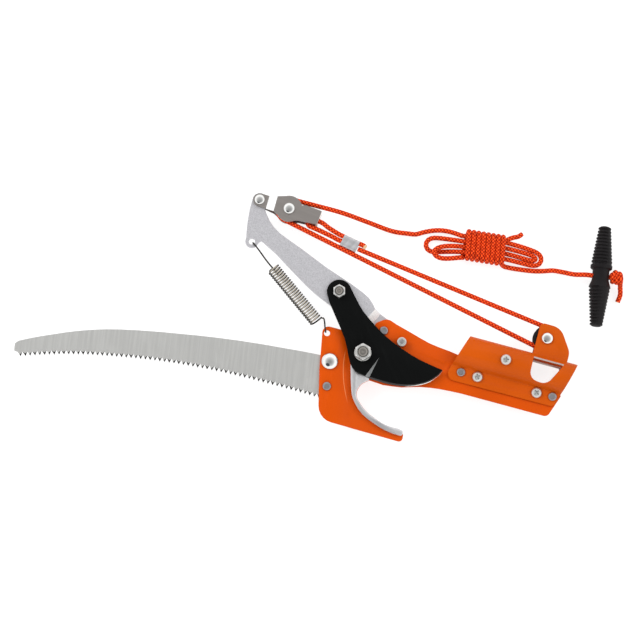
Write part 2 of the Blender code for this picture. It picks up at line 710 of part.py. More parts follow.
def half_shell(name, side, finish, parent):
    """One half of the pole socket, with its window and the ear bent out of it. Side is 1 or -1."""
    bm = bmesh.new()
    low_x, high_x = SHELL_PLAN[2][0] - 5, SHELL_PLAN[-1][0] + 5
    verts = [bm.verts.new((low_x, y, z)) for y, z in shell_profile(SHELL_IN_R, SHELL_OUT_R)]
    face = bm.faces.new(verts)
    grown = bmesh.ops.extrude_face_region(bm, geom=[face])
    moved = [v for v in grown["geom"] if isinstance(v, bmesh.types.BMVert)]
    bmesh.ops.translate(bm, vec=(high_x - low_x, 0, 0), verts=moved)
    if side < 0:
        bmesh.ops.scale(bm, vec=(1, 1, -1), verts=bm.verts)
    bmesh.ops.recalc_face_normals(bm, faces=bm.faces)
    made = add(name, bm, finish, parent)
    deep = SHELL_OUT_R + 5
    boolean(made, "INTERSECT", plate(closed(SHELL_PLAN), -deep, deep), name + "_trim")
    inner, outer = EAR_GAP / 2, EAR_GAP / 2 + SHELL_T
    ear = plate(closed(EAR), *sorted((side * inner, side * outer)), [(REAR_AXLE, AXLE_R + CLEAR)])
    boolean(made, "UNION", ear, name + "_ear")
    cuts = [("window", closed(WINDOW), deep)]
    cuts += [(f"rivet_{k}", circle(p, RIVET_R + CLEAR, 12), 5.0) for k, p in enumerate(FLANGE_RIVETS)]
    cuts += [(f"screw_{k}", circle(p, SCREW_R + CLEAR, 12), 5.0) for k, p in enumerate(FLANGE_SCREWS)]
    if side > 0:
        cuts.append(("pole_screw", circle(POLE_SCREW, SCREW_R + CLEAR, 12), deep))
    for label, outline, height in cuts:
        cutter = plate(outline, 0.0 if side > 0 else -height, height if side > 0 else 0.0)
        boolean(made, "DIFFERENCE", cutter, f"{name}_{label}")
    return made


def sheave(name, axle, radius, middle, finish, parent):
    """A grooved wheel for the rope."""
    half = SHEAVE_T / 2
    bore = AXLE_R + CLEAR
    groove = [(radius, half), (radius, half - 0.8)]
    for step in range(5):
        angle = math.pi * (step / 4 - 0.5)
        depth = ROPE_R + CLEAR
        groove.append((SHEAVE_GROOVE_R + depth - depth * math.cos(angle), -depth * math.sin(angle)))
    groove += [(radius, -half + 0.8), (radius, -half)]
    profile = [(bore, half)] + groove + [(bore, -half), (bore, half)]
    bm = turned([(r, z + middle) for r, z in profile], axle, 24)
    return add(name, bm, finish, parent)


def cheek_outline():
    """One cheek of the pulley strap in plan: tab, round and arm."""
    tab = circle(LEVER_END, STRAP_TAB_R, 8, math.radians(92), math.radians(176))
    top = circle(FRONT_AXLE, STRAP_R, 7, math.radians(30), math.radians(88))
    bottom = circle(FRONT_AXLE, STRAP_R, 7, math.radians(222), math.radians(82))
    nose = rounded(STRAP_NOSE, top[0], bottom[-1])[::-1]
    return top + list(STRAP_PLAN_TOP[::-1]) + tab + list(STRAP_PLAN_BOTTOM[::-1]) + bottom + nose


def pulley_strap(finish, parent):
    """The folded strap round the front sheave, both cheeks stepped in to clasp the lever's end."""
    outline = cheek_outline()
    holes = [(FRONT_AXLE, AXLE_R + CLEAR), (LEVER_END, AXLE_R + CLEAR)]
    foot, head = STRAP_BEND
    cheeks = []
    for side in (1, -1):
        near = LEVER_T / 2 + CLEAR
        rise = STRAP_GAP / 2 - near
        low = LEVER_MID + near if side > 0 else LEVER_MID - near - STRAP_T
        bm = plate(outline, low, low + STRAP_T, holes)
        step_sheet(bm, (foot, 0), (1, 0), head - foot, side * rise)
        cheeks.append(bm)
    made = add("pulley_strap", cheeks[0], finish, parent)
    boolean(made, "UNION", cheeks[1], "strap_rear_cheek")
    right, low_y, high_y = STRAP_NOSE[1][0] - 0.1, STRAP_NOSE[2][1] + 0.6, STRAP_NOSE[1][1] - 0.6
    lean = STRAP_NOSE[2][0] - STRAP_NOSE[1][0]
    wall = [(right, high_y), (right - STRAP_T, high_y), (right - STRAP_T + lean, low_y), (right + lean, low_y)]
    reach = STRAP_GAP / 2 + STRAP_T / 2
    boolean(made, "UNION", plate(wall, LEVER_MID - reach, LEVER_MID + reach), "strap_fold")
    hole = turned([(0, -9), (ROPE_R + 0.6, -9), (ROPE_R + 0.6, 9), (0, 9)], (0, 0), 12)
    bmesh.ops.rotate(hole, cent=(0, 0, 0), matrix=Matrix.Rotation(math.pi / 2, 3, "Y"), verts=hole.verts)
    bmesh.ops.translate(hole, vec=(*EYE_HOLE, LEVER_MID), verts=hole.verts)
    boolean(made, "DIFFERENCE", hole, "strap_eye_hole")
    return made


def rope_paths():
    """The rope's held stretches between the ferrule and the sheaves, each a line of points."""
    front, rear = Vector(FRONT_AXLE), Vector(REAR_AXLE)
    ahead = (rear - front).normalized()
    side = Vector((-ahead.y, ahead.x))
    ferrule = Vector(FERRULE_CENTRE)
    out = Vector(FERRULE_WAY).normalized()
    lane = Vector((-out.y, out.x)) * (ROPE_R + CLEAR)
    mouth = ferrule + out * (FERRULE_L / 2 + CLEAR)
    fall_start = mouth - lane
    span = fall_start - rear
    touch = math.atan2(span.y, span.x) - math.acos(ROPE_RUN_R / span.length)
    low = math.atan2(-side.y, -side.x)
    upper_end = rear + Vector((math.cos(touch), math.sin(touch))) * ROPE_RUN_R
    upper = [(*fall_start, LEVER_MID), (*upper_end, 0.0)]
    lower = [(*(rear - side * ROPE_RUN_R), 0.0), (*(front - side * ROPE_RUN_R), LEVER_MID)]
    rear_sweep = (low - touch) % TURN - TURN
    rear_bight = [(x, y, 0.0) for x, y in circle(REAR_AXLE, ROPE_RUN_R, 16, touch, rear_sweep)]
    front_sweep = (math.pi / 2 - low) % TURN - TURN
    front_bight = [(x, y, LEVER_MID) for x, y in circle(FRONT_AXLE, ROPE_RUN_R, 16, low, front_sweep)]
    stub = [(*(mouth + lane), LEVER_MID), (*(mouth + lane + out * 3), LEVER_MID + STUB_RISE / 3)]
    return {
        "rope_stub": smooth(stub + [(*STUB_END, LEVER_MID + STUB_RISE)], 3),
        "rope_upper_fall": along(upper, 14.0),
        "rope_rear_bight": rear_bight,
        "rope_lower_fall": along(lower, 14.0),
        "rope_front_bight": front_bight,
    }


def eye_path():
    """The spliced eye: out of the ferrule, through the strap's fold and back under it."""
    way = Vector(FERRULE_WAY).normalized()
    across = Vector((-way.y, way.x)) * (ROPE_R + CLEAR)
    mouth = Vector(FERRULE_CENTRE) - way * (FERRULE_L / 2 + CLEAR)
    points = [mouth + across, mouth + across - way * 4] + [Vector(p) for p in EYE_ROUTE]
    points += [mouth - across - way * 4, mouth - across]
    return smooth([(*p, LEVER_MID) for p in points], 2)


def hank_path():
    """The hanked rope: flat loops drawn in at the waist, then turns wound round the waist.

    Points are (along the hank, across it, height over the floor).
    """
    half = HANK_WRAPS * HANK_WRAP_PITCH / 2
    tall = 2 * ROPE_R + HANK_GAP
    rise = ROPE_R + tall
    rows = [tall * k for k in (1.5, -1.5, 0.5, -0.5)]
    loops = ((1, 47.0, 10.2, 0.0), (-1, 50.0, 9.2, -5.0), (1, 35.5, 4.3, 0.0))
    knots = smooth(HANK_ENTRY, 2)
    for (way, reach, width, middle), start, end in zip(loops, rows, rows[1:]):
        knots += [(-way * (half + 3), start, rise), (way * (half + 3), start, rise)]
        sign = math.copysign(1, start - end)
        for k in range(LOOP_POINTS + 1):
            angle = math.pi * (0.5 - k / LOOP_POINTS)
            x = way * (reach - width + width * math.cos(angle))
            knots.append((x, middle + sign * width * math.sin(angle), ROPE_R + 0.2))
    knots += [(half + 3, rows[-1], rise), (-half - 3, rows[-1], rise)]
    knots += smooth(HANK_CROSSING, 2)
    flat, bend = 3 * tall, math.pi * tall
    lap = 2 * (flat + bend)
    middle = BEND_POINTS // 2
    for turn in range(2 * HANK_WRAPS + 1):
        side = -1 if turn % 2 == 0 else 1
        first = middle if turn == 0 else 0
        last = middle if turn == 2 * HANK_WRAPS else BEND_POINTS
        for k in range(first, last + 1):
            angle = math.pi * (k / BEND_POINTS - 0.5)
            gone = turn * lap / 2 + tall * angle
            across = side * (flat / 2 + tall * math.cos(angle))
            place = -half + HANK_WRAP_PITCH * gone / lap
            knots.append((place, across, rise + side * tall * math.sin(angle)))
    knots += smooth(HANK_EXIT, 2)
    return by_hank(knots)


def by_hank(knots):
    """Points given along the hank, across it and over the floor, in plan."""
    spin = Matrix.Rotation(HANK_ANGLE, 2)
    places = []
    for x, y, z in knots:
        places.append(Vector((*(Vector(HANK_CENTRE) + spin @ Vector((x, y))), FLOOR + z)))
    return places


def over_floor(points):
    """A route given by heights over the floor."""
    return [(x, y, FLOOR + z) for x, y, z in points]


def slack_path(hank):
    """The free rope from the front sheave down to the floor and the hank."""
    top = (FRONT_AXLE[0], FRONT_AXLE[1] + ROPE_RUN_R, LEVER_MID)
    start = [top, (top[0] + 8.0, top[1], LEVER_MID)]
    end = [hank[0] - (hank[1] - hank[0]).normalized() * 6.0, hank[0]]
    return along(smooth(start + over_floor(SLACK_ROUTE) + end, 5), 9.0)


def lead_path(hank):
    """The free rope from the hank through the pull handle's neck."""
    start = [hank[-1], hank[-1] + (hank[-1] - hank[-2]).normalized() * 6.0]
    way = handle_frame()
    reach = (-HANDLE_NECK_R - 6.0, -HANDLE_NECK_R - 2.0, 0.0, KNOT_REACH - KNOT_HALF - CLEAR)
    neck = [way @ Vector((x, 0, 0)) for x in reach]
    return along(smooth(start + over_floor(LEAD_ROUTE) + neck, 5), 6.0)


def handle_frame():
    """Where the pull handle lies: its length along local Z, the rope's hole along local X."""
    centre = Vector((*HANDLE_CENTRE, FLOOR + HANDLE_RIM_R))
    axis = (Vector(HANDLE_END) - Vector(HANDLE_CENTRE)).normalized().to_3d()
    across = Vector((axis.y, -axis.x, 0))
    frame = Matrix((across, axis.cross(across), axis))
    return Matrix.Translation(centre) @ frame.transposed().to_4x4()


def pull_handle(finish, parent):
    """The moulded handle: a neck for the rope between two rims, and ribbed grips that taper out."""
    half = (Vector(HANDLE_END) - Vector(HANDLE_CENTRE)).length
    grip = half - HANDLE_RIM
    side = [(HANDLE_NECK_R, 0.0), (HANDLE_NECK_R, HANDLE_NECK - 1.5), (HANDLE_RIM_R, HANDLE_NECK)]
    side.append((HANDLE_RIM_R, HANDLE_RIM))
    pitch = (grip - 2.0) / HANDLE_RIBS
    for k in range(HANDLE_RIBS):
        place = HANDLE_RIM + 1.0 + pitch * k
        radius = HANDLE_RIM_R + (HANDLE_TIP_R - HANDLE_RIM_R) * (k + 1) / (HANDLE_RIBS + 1)
        side += [(radius - RIB_DEPTH, place + pitch * 0.15), (radius, place + pitch * 0.45)]
        side.append((radius, place + pitch * 0.9))
    side += [(HANDLE_TIP_R - 1.0, half - 0.6), (0, half)]
    profile = [(r, -z) for r, z in side[:0:-1]] + side[1:]
    bm = turned(profile, (0, 0), 12)
    bmesh.ops.transform(bm, matrix=handle_frame(), verts=bm.verts)
    made = add("pull_handle", bm, finish, parent)
    hole = turned([(0, -20), (ROPE_R + CLEAR, -20), (ROPE_R + CLEAR, 20), (0, 20)], (0, 0), 12)
    lying = handle_frame() @ Matrix.Rotation(math.pi / 2, 4, "Y")
    bmesh.ops.transform(hole, matrix=lying, verts=hole.verts)
    boolean(made, "DIFFERENCE", hole, "handle_hole")
    return made


def spring_path():
    """The return spring's coil, with the hook that goes through the plate at its lower end."""
    foot, head = (Vector((*place, LEVER_MID)) for place in COIL_ENDS)
    axis = (head - foot).normalized()
    side = Vector((-axis.y, axis.x, 0))
    points = []
    count = COIL_TURNS * COIL_POINTS
    for k in range(count + 1):
        angle = TURN * k / COIL_POINTS
        spoke = side * math.cos(angle) + Vector((0, 0, 1)) * math.sin(angle)
        points.append(foot + (head - foot) * k / count + spoke * COIL_R)
    hole = Vector((*PLATE_SPRING_HOLE, 0))
    up = Vector((0, 0, 1))
    reach = SPRING_HOLE_R - WIRE_R - CLEAR
    inside = hole + (foot - hole).to_2d().normalized().to_3d() * reach
    hook = [
        inside + up * (FLANGE_LOW - WIRE_R * 2),
        inside + up * (FLANGE_LOW + PLATE_T / 2),
        inside + up * (FLANGE_HIGH + WIRE_R + CLEAR),
        inside.lerp(foot, 0.4).to_2d().to_3d() + up * (FLANGE_HIGH + 2.4) - side * 1.5,
        inside.lerp(foot, 0.75).to_2d().to_3d() + up * (LEVER_MID + 0.8) + side * 1.5,
        foot - axis * 1.6 + side * (COIL_R - 0.6),
    ]
    last = points[-1]
    tail = [last, head + axis * 1.0 + (side * 0.6 + up * 0.8) * COIL_R * 0.8]
    tail += [head + axis * 2.6 + up * 1.0, head + axis * 5.0]
    return smooth(hook + [points[0]], 3)[:-1] + points[:-1] + smooth(tail, 3)


def spring_eye_path():
    """The straight leg from the coil's upper end, and the hook that goes through the lever's lug."""
    foot, head = (Vector((*place, LEVER_MID)) for place in COIL_ENDS)
    axis = (head - foot).normalized()
    hole = Vector((*LUG_SPRING_HOLE, 0))
    up = Vector((0, 0, 1))
    inside = hole - axis * (SPRING_HOLE_R - WIRE_R - CLEAR)
    over = LEVER_HIGH + WIRE_R + CLEAR
    edge = hole - axis * (LEVER_LUG_R + 2.0)
    return smooth(
        [
            head + axis * (5.0 + CLEAR),
            head + axis * 10.0,
            edge - axis * 3.0 + up * (LEVER_MID + 0.6),
            edge + axis * 2.0 + up * over,
            inside - axis * 0.4 + up * over,
            inside + up * LEVER_MID,
            inside - axis * 0.2 + up * (LEVER_LOW - 1.2),
        ],
        3,
    )


def ferrule(finish, parent):
    """The crimped sleeve that closes the rope's eye."""
    way = Vector(FERRULE_WAY).normalized()
    across = Vector((-way.y, way.x))
    centre = Vector(FERRULE_CENTRE)
    signs = ((-1, -1), (1, -1), (1, 1), (-1, 1))
    corners = [(*(centre + way * FERRULE_L / 2 * a + across * FERRULE_W / 2 * b), 1.2) for a, b in signs]
    bm = plate(closed(corners, 3), LEVER_MID - FERRULE_T / 2, LEVER_MID + FERRULE_T / 2)
    made = add("rope_ferrule", bm, finish, parent)
    soften = made.modifiers.new("rounding", "BEVEL")
    soften.width = 1.2 * MM
    soften.segments = 2
    soften.limit_method = "ANGLE"
    soften.angle_limit = math.radians(60)
    return made


def swept(points, radius, sides=8):
    """A closed tube along a line, as a mesh."""
    bm = bmesh.new()
    line = [Vector(p) for p in points]
    rings = []
    for k, here in enumerate(line):
        way = (line[min(k + 1, len(line) - 1)] - line[max(k - 1, 0)]).normalized()
        spread = way.cross(Vector((0, 0, 1))).normalized()
        other = way.cross(spread)
        places = circle((0, 0), radius, sides)
        rings.append([bm.verts.new(here + spread * a + other * b) for a, b in places])
    for near, far in zip(rings, rings[1:]):
        for k in range(sides):
            bm.faces.new((near[k - 1], near[k], far[k], far[k - 1]))
    bm.faces.new(rings[0])
    bm.faces.new(rings[-1])
    bmesh.ops.recalc_face_normals(bm, faces=bm.faces)
    return bm


def rope_knot(finish, parent):
    """The stopper knot beyond the handle, with its short tail."""
    frame = handle_frame()
    bm = bmesh.new()
    bmesh.ops.create_icosphere(bm, subdivisions=3, radius=KNOT_R)
    for vert in bm.verts:
        off_axis = 1 - (vert.co.x / KNOT_R) ** 2
        lobes = math.sin(3 * math.atan2(vert.co.y, vert.co.z) + 0.4 * vert.co.x) * off_axis
        vert.co *= 1 + 0.07 * lobes
    bmesh.ops.scale(bm, vec=(KNOT_HALF / KNOT_R, 1.0, 1.1), verts=bm.verts)
    bmesh.ops.transform(bm, matrix=frame @ Matrix.Translation((KNOT_REACH, 0, 0)), verts=bm.verts)
    made = add("rope_knot", bm, finish, parent)
    tail = smooth([frame @ Vector((KNOT_REACH, 0, 0))] + over_floor(TAIL_ROUTE), 3)
    boolean(made, "UNION", swept(tail, ROPE_R), "knot_tail")
    return made


def socket(name, place, parent=None):
    """An empty at a joint's axis or the assembly's datum."""
    made = bpy.data.objects.new(name, None)
    made.empty_display_size = 0.01
    made.location = Vector(place) * MM
    made.parent = parent
    bpy.context.collection.objects.link(made)
    return made


def set_down(axes, root, pieces):
    """Set the assembly down with its lowest point on the floor and its box centred on the origin."""
    bpy.context.view_layer.update()
    graph = bpy.context.evaluated_depsgraph_get()
    low, high = Vector((math.inf,) * 3), Vector((-math.inf,) * 3)
    for piece in pieces:
        mesh = piece.evaluated_get(graph).to_mesh()
        for vert in mesh.vertices:
            place = piece.matrix_world @ vert.co
            low = Vector(map(min, low, place))
            high = Vector(map(max, high, place))
    root.location = (-(low.x + high.x) / 2, -(low.y + high.y) / 2, -low.z)
    bpy.context.view_layer.update()
    for name, axis in axes.items():
        print(name, [round(v, 5) for v in axis.matrix_world.translation])


def build():
    """Make every piece, each on the empty of the body that it moves with."""
    for item in list(bpy.data.objects):
        bpy.data.objects.remove(item)
    orange = material("orange_paint", (0.83, 0.19, 0.03), 0.42, 0.0)
    steel = material("brushed_steel", (0.62, 0.62, 0.63), 0.34, 1.0)
    zinc = material("zinc_plate", (0.66, 0.66, 0.64), 0.28, 1.0)
    black = material("black_coating", (0.018, 0.018, 0.02), 0.5, 0.0)
    rope = material("rope_braid", (0.72, 0.10, 0.02), 0.8, 0.0)
    plastic = material("black_plastic", (0.022, 0.022, 0.024), 0.55, 0.0)

    root = socket("pole_saw_head", (0, 0, 0))
    axes = {"root": root}
    for name, place in (
        ("blade_pivot", PIVOT),
        ("lever_pivot", LEVER_PIVOT),
        ("shackle_swing", LEVER_END),
        ("front_sheave_spin", FRONT_AXLE),
        ("rear_sheave_spin", REAR_AXLE),
        ("spring_swing", PLATE_SPRING_HOLE),
    ):
        axes[name] = socket(name, (*place, 0.0), root)

    def on(axis, maker, *rest_of):
        """Make a piece in the plan's frame and carry it on an axis empty."""
        piece = maker(*rest_of, root)
        piece.parent = axes[axis]
        piece.matrix_parent_inverse = Matrix.Translation(axes[axis].location).inverted()
        return piece

    on("root", main_plate, orange)
    on("root", anvil_hook, steel)
    on("root", saw_blade, steel)
    on("root", half_shell, "front_shell", 1, orange)
    on("root", half_shell, "rear_shell", -1, orange)
    on("blade_pivot", cutting_blade, black)
    on("lever_pivot", lever_arm, steel)
    on("shackle_swing", pulley_strap, steel)
    on("front_sheave_spin", sheave, "front_sheave", FRONT_AXLE, FRONT_SHEAVE_R, LEVER_MID, plastic)
    on("rear_sheave_spin", sheave, "rear_sheave", REAR_AXLE, REAR_SHEAVE_R, 0.0, plastic)

    nut_low = BLADE_HIGH + CLEAR
    on("root", bolt, "pivot_bolt", PIVOT, PIVOT_NUT_FLATS, PIVOT_BOLT_R, PLATE_LOW - CLEAR, 5.2,
       nut_low + WASHER_T + PIVOT_NUT_H + 1.2, zinc)
    washer = [(PIVOT_BOLT_R + CLEAR, nut_low), (WASHER_R, nut_low), (WASHER_R, nut_low + WASHER_T)]
    washer += [(PIVOT_BOLT_R + CLEAR, nut_low + WASHER_T), (PIVOT_BOLT_R + CLEAR, nut_low)]
    on("root", add, "pivot_washer", turned(washer, PIVOT, 24), zinc)
    on("root", nut, "pivot_nut", PIVOT, PIVOT_NUT_FLATS, PIVOT_BOLT_R, nut_low + WASHER_T + CLEAR,
       PIVOT_NUT_H, zinc)
    on("blade_pivot", bolt, "link_bolt", LINK, LINK_NUT_FLATS, LINK_BOLT_R, LEVER_LOW - CLEAR, 4.0,
       nut_low + LINK_NUT_H + 1.2, zinc)
    on("blade_pivot", nut, "link_nut", LINK, LINK_NUT_FLATS, LINK_BOLT_R, nut_low, LINK_NUT_H, zinc)

    on("root", stop_pin, zinc)
    on("root", rivet, "lever_rivet", LEVER_PIVOT, LEVER_LOW - LEVER_DROP, PLATE_HIGH, RIVET_R + 0.6,
       RIVET_HEAD_R, RIVET_HEAD_H, zinc)
    on("root", saw_bolt, zinc)
    on("root", nut, "saw_bolt_nut", SAW_BOLT, LINK_NUT_FLATS, LINK_BOLT_R, SAW_LOW - CLEAR,
       -LINK_NUT_H, zinc)
    on("root", rivet, "saw_rivet", SAW_RIVET, SAW_LOW, FLANGE_HIGH, RIVET_R, RIVET_HEAD_R,
       RIVET_HEAD_H, zinc)
    for label, riveted, screwed in zip(("left", "right"), FLANGE_RIVETS, FLANGE_SCREWS):
        on("root", rivet, f"shell_rivet_{label}", riveted, -SHELL_HIGH, SHELL_HIGH, RIVET_R,
           RIVET_HEAD_R, RIVET_HEAD_H, zinc)
        on("root", screw, f"shell_screw_{label}", screwed, SHELL_HIGH + CLEAR,
           -SHELL_HIGH - CLEAR - SMALL_NUT_H - 1.0, zinc)
        on("root", nut, f"shell_nut_{label}", screwed, SMALL_NUT_FLATS, SCREW_R,
           -SHELL_HIGH - CLEAR, -SMALL_NUT_H, zinc)
    on("root", screw, "pole_screw", POLE_SCREW, SHELL_OUT_R + CLEAR, POLE_SCREW_TIP, zinc)
    ear = EAR_GAP / 2 + SHELL_T
    on("root", rivet, "rear_axle", REAR_AXLE, -ear, ear, AXLE_R, AXLE_HEAD_R, AXLE_HEAD_H, zinc)
    cheek = STRAP_GAP / 2 + STRAP_T
    on("shackle_swing", rivet, "front_axle", FRONT_AXLE, LEVER_MID - cheek, LEVER_MID + cheek,
       AXLE_R, AXLE_HEAD_R, AXLE_HEAD_H, zinc)
    clasp = LEVER_T / 2 + CLEAR + STRAP_T
    on("shackle_swing", rivet, "strap_rivet", LEVER_END, LEVER_MID - clasp, LEVER_MID + clasp,
       AXLE_R, AXLE_HEAD_R - 0.5, AXLE_HEAD_H - 0.4, zinc)

    on("shackle_swing", ferrule, zinc)
    half_gap = CLEAR / 2
    for name, path in rope_paths().items():
        axis = "root" if name == "rope_rear_bight" else "shackle_swing"
        on(axis, wire, name, trimmed(path, half_gap, half_gap), ROPE_R, rope)
    on("shackle_swing", wire, "rope_eye", eye_path(), ROPE_R, rope)
    hank = hank_path()
    cords = [
        on("root", wire, "rope_slack", trimmed(slack_path(hank), half_gap, half_gap), ROPE_R, rope),
        on("root", wire, "rope_hank", trimmed(hank, half_gap, half_gap), ROPE_R, rope),
        on("root", wire, "rope_lead", trimmed(lead_path(hank), half_gap, 0), ROPE_R, rope),
        on("root", rope_knot, rope),
        on("root", wire, "rope_loose_end", smooth(by_hank(HANK_LOOSE_END), 2), ROPE_R, rope),
    ]
    cords[1].data.bevel_resolution = 1
    on("root", pull_handle, plastic)

    coil = spring_path()
    on("spring_swing", wire, "return_spring", coil, WIRE_R, zinc)
    on("spring_swing", wire, "spring_eye", spring_eye_path(), WIRE_R, zinc)
    bpy.data.objects["return_spring"].data.bevel_resolution = 1

    print("hank's least gap to itself, mm", round(least_gap(hank, ROPE_R, 14.0), 2))
    print("spring's least gap to itself, mm", round(least_gap(coil, WIRE_R, 8.0), 2))
    for piece in bpy.data.objects:
        if piece.type == "CURVE":
            places = [Vector(point.co[:3]) for point in piece.data.splines[0].points]
            length = sum((b - a).length for a, b in zip(places, places[1:]))
            print(piece.name, "length, m", round(length, 4))

    still = [o for o in bpy.data.objects if o.type != "EMPTY" and not o.hide_render and o not in cords]
    set_down(axes, root, still)


build()
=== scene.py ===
"""A rope-worked pruning saw head for a pole, dressed for a picture.

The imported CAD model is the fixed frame, and every piece here stands on it. Sizes are in millimetres of the
plan: measured from the blade's pivot, X along the pole towards the socket, Y across the plates, Z up through
them. TO_FRAME takes the plan into the frame. Each sub-assembly is a class that builds its pieces and dresses
them, each finish is a small class that lays its own nodes, and main() puts them together in order.
"""

import json
import logging
import math
from collections.abc import Callable, Iterable, Sequence
from dataclasses import dataclass
from enum import Enum

import bmesh
import bpy
from bmesh.types import BMEdge, BMesh, BMFace, BMVert
from mathutils import Matrix, Vector


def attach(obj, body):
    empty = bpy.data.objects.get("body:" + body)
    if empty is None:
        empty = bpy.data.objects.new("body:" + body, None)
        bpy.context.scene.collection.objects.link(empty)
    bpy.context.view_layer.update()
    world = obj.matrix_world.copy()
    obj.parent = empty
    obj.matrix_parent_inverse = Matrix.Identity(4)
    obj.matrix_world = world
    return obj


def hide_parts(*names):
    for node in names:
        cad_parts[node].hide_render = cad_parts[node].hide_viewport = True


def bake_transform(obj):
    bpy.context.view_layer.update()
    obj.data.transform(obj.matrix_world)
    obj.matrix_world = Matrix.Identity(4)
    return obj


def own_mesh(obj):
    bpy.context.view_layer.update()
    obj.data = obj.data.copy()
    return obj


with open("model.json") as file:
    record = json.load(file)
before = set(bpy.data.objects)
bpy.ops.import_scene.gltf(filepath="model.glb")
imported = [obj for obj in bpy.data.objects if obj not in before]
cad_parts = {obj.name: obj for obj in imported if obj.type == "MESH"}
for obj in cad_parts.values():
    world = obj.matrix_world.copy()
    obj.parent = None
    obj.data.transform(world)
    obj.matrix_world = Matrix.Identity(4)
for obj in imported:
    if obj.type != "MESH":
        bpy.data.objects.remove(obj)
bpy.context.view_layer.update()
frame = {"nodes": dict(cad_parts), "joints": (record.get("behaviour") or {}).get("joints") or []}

LOG = logging.getLogger("pruning_saw")

MM = 0.001
TURN = 2 * math.pi
CLEAR = 0.3
UP = Vector((0, 0, 1))
LEVEL = 0.97  # a face whose normal stands up further than this lies flat
Point = tuple[float, float]
Place = tuple[float, float, float]
Colour = tuple[float, float, float]
Measure = float | Callable[[float], float]

JOINTS = {joint["name"]: joint for joint in frame["joints"]}
DATUM = Vector(JOINTS["blade_pivot"]["pos_m"])
TO_FRAME = Matrix.Translation(DATUM) @ Matrix.Scale(MM, 4)
TO_PLAN = TO_FRAME.inverted()
PICTURE_TURN = math.radians(15.3)  # the picture's upright against the plan's Y


class Body(Enum):
    """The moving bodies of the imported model."""

    FRAME = "frame"
    BLADE = "blade"
    LEVER = "lever"
    SHACKLE = "shackle"
    FRONT_SHEAVE = "front_sheave"
    REAR_SHEAVE = "rear_sheave"
    SPRING = "spring"
    SPRING_LEG = "spring_leg"


class Slot(Enum):
    """The record's material slots."""

    ORANGE_PAINT = "orange_paint"
    BRUSHED_STEEL = "brushed_steel"
    BLACK_COATING = "black_coating"
    ZINC_PLATE = "zinc_plate"
    ROPE_BRAID = "rope_braid"
    BLACK_PLASTIC = "black_plastic"


def display(red: int, green: int, blue: int) -> Colour:
    """The linear colour of one that is given as it is displayed, each part 0 to 255."""
    parts = (part / 255 for part in (red, green, blue))
    return tuple(p / 12.92 if p <= 0.04045 else ((p + 0.055) / 1.055) ** 2.4 for p in parts)


# ---------------------------------------------------------------- lines


def arc(centre: Point, radius: float, start: float, sweep: float, steps: int = 48) -> list[Point]:
    """Points along an arc in plan, from one end to the other."""
    angles = [start + sweep * k / steps for k in range(steps + 1)]
    return [(centre[0] + radius * math.cos(a), centre[1] + radius * math.sin(a)) for a in angles]


def smooth(points: Iterable[Sequence[float]], steps: int) -> list[Vector]:
    """A smooth curve through the points.

    Args:
        points: the points that it passes through.
        steps: how many equal steps each stretch is cut into.

    Returns:
        The curve's points, both ends included.
    """
    knots = [Vector(p) for p in points]
    knots = [2 * knots[0] - knots[1]] + knots + [2 * knots[-1] - knots[-2]]
    curve = []
    for a, b, c, d in zip(knots, knots[1:], knots[2:], knots[3:]):
        for k in range(steps):
            t = k / steps
            cubic = 3 * b - a - 3 * c + d
            curve.append(0.5 * (2 * b + (c - a) * t + (2 * a - 5 * b + 4 * c - d) * t**2 + cubic * t**3))
    curve.append(knots[-2].copy())
    return curve


def along(points: Iterable[Sequence[float]], step: float) -> list[Vector]:
    """The same line with points at an even spacing.

    Args:
        points: the line.
        step: the spacing wanted, which is met as nearly as the length allows.

    Returns:
        The evenly spaced points, both ends included.
    """
    line = [Vector(p) for p in points]
    spans = [(b - a).length for a, b in zip(line, line[1:])]
    total = sum(spans)
    count = max(2, round(total / step))
    out, index, passed = [], 0, 0.0
    for k in range(count + 1):
        want = total * k / count
        while index < len(spans) - 1 and passed + spans[index] < want:
            passed += spans[index]
            index += 1
        share = (want - passed) / max(spans[index], 1e-9)
        out.append(line[index].lerp(line[index + 1], min(share, 1.0)))
    return out


def length_of(line: Sequence[Vector]) -> float:
    """The length of a line of points."""
    return sum((b - a).length for a, b in zip(line, line[1:]))


# ---------------------------------------------------------------- shader maths


def operator(operation: str, swapped: bool = False) -> Callable[..., "Signal"]:
    """What a Signal does for one of Python's operators: it adds a Math node.

    Args:
        operation: what the node works out.
        swapped: whether the other value comes first, as in 1 - mask.

    Returns:
        The method.
    """

    def method(self: "Signal", *other: "Signal | float") -> "Signal":
        """The node's result."""
        return self.sheet.maths(operation, *((*other, self) if swapped else (self, *other)))

    return method


class Signal:
    """A socket in a material's nodes, so that an expression on it adds Math nodes."""

    __add__, __radd__ = operator("ADD"), operator("ADD", swapped=True)
    __sub__, __rsub__ = operator("SUBTRACT"), operator("SUBTRACT", swapped=True)
    __mul__, __rmul__ = operator("MULTIPLY"), operator("MULTIPLY", swapped=True)
    __truediv__ = operator("DIVIDE")
    __gt__, __lt__ = operator("GREATER_THAN"), operator("LESS_THAN")
    __abs__, sine, fraction, floor = (operator(name) for name in ("ABSOLUTE", "SINE", "FRACT", "FLOOR"))

    def __init__(self, sheet: "NodeSheet", socket: bpy.types.NodeSocket) -> None:
        """Keep the sheet and the socket."""
        self.sheet, self.socket = sheet, socket

    def ease(self, low: float, high: float) -> "Signal":
        """A smooth step from 0 at the low value to 1 at the high one."""
        settings = {"interpolation_type": "SMOOTHSTEP"}
        return self.sheet.node("MapRange", settings, {0: self, 1: low, 2: high, 3: 0.0, 4: 1.0})


Link = Signal | float | Sequence[float]


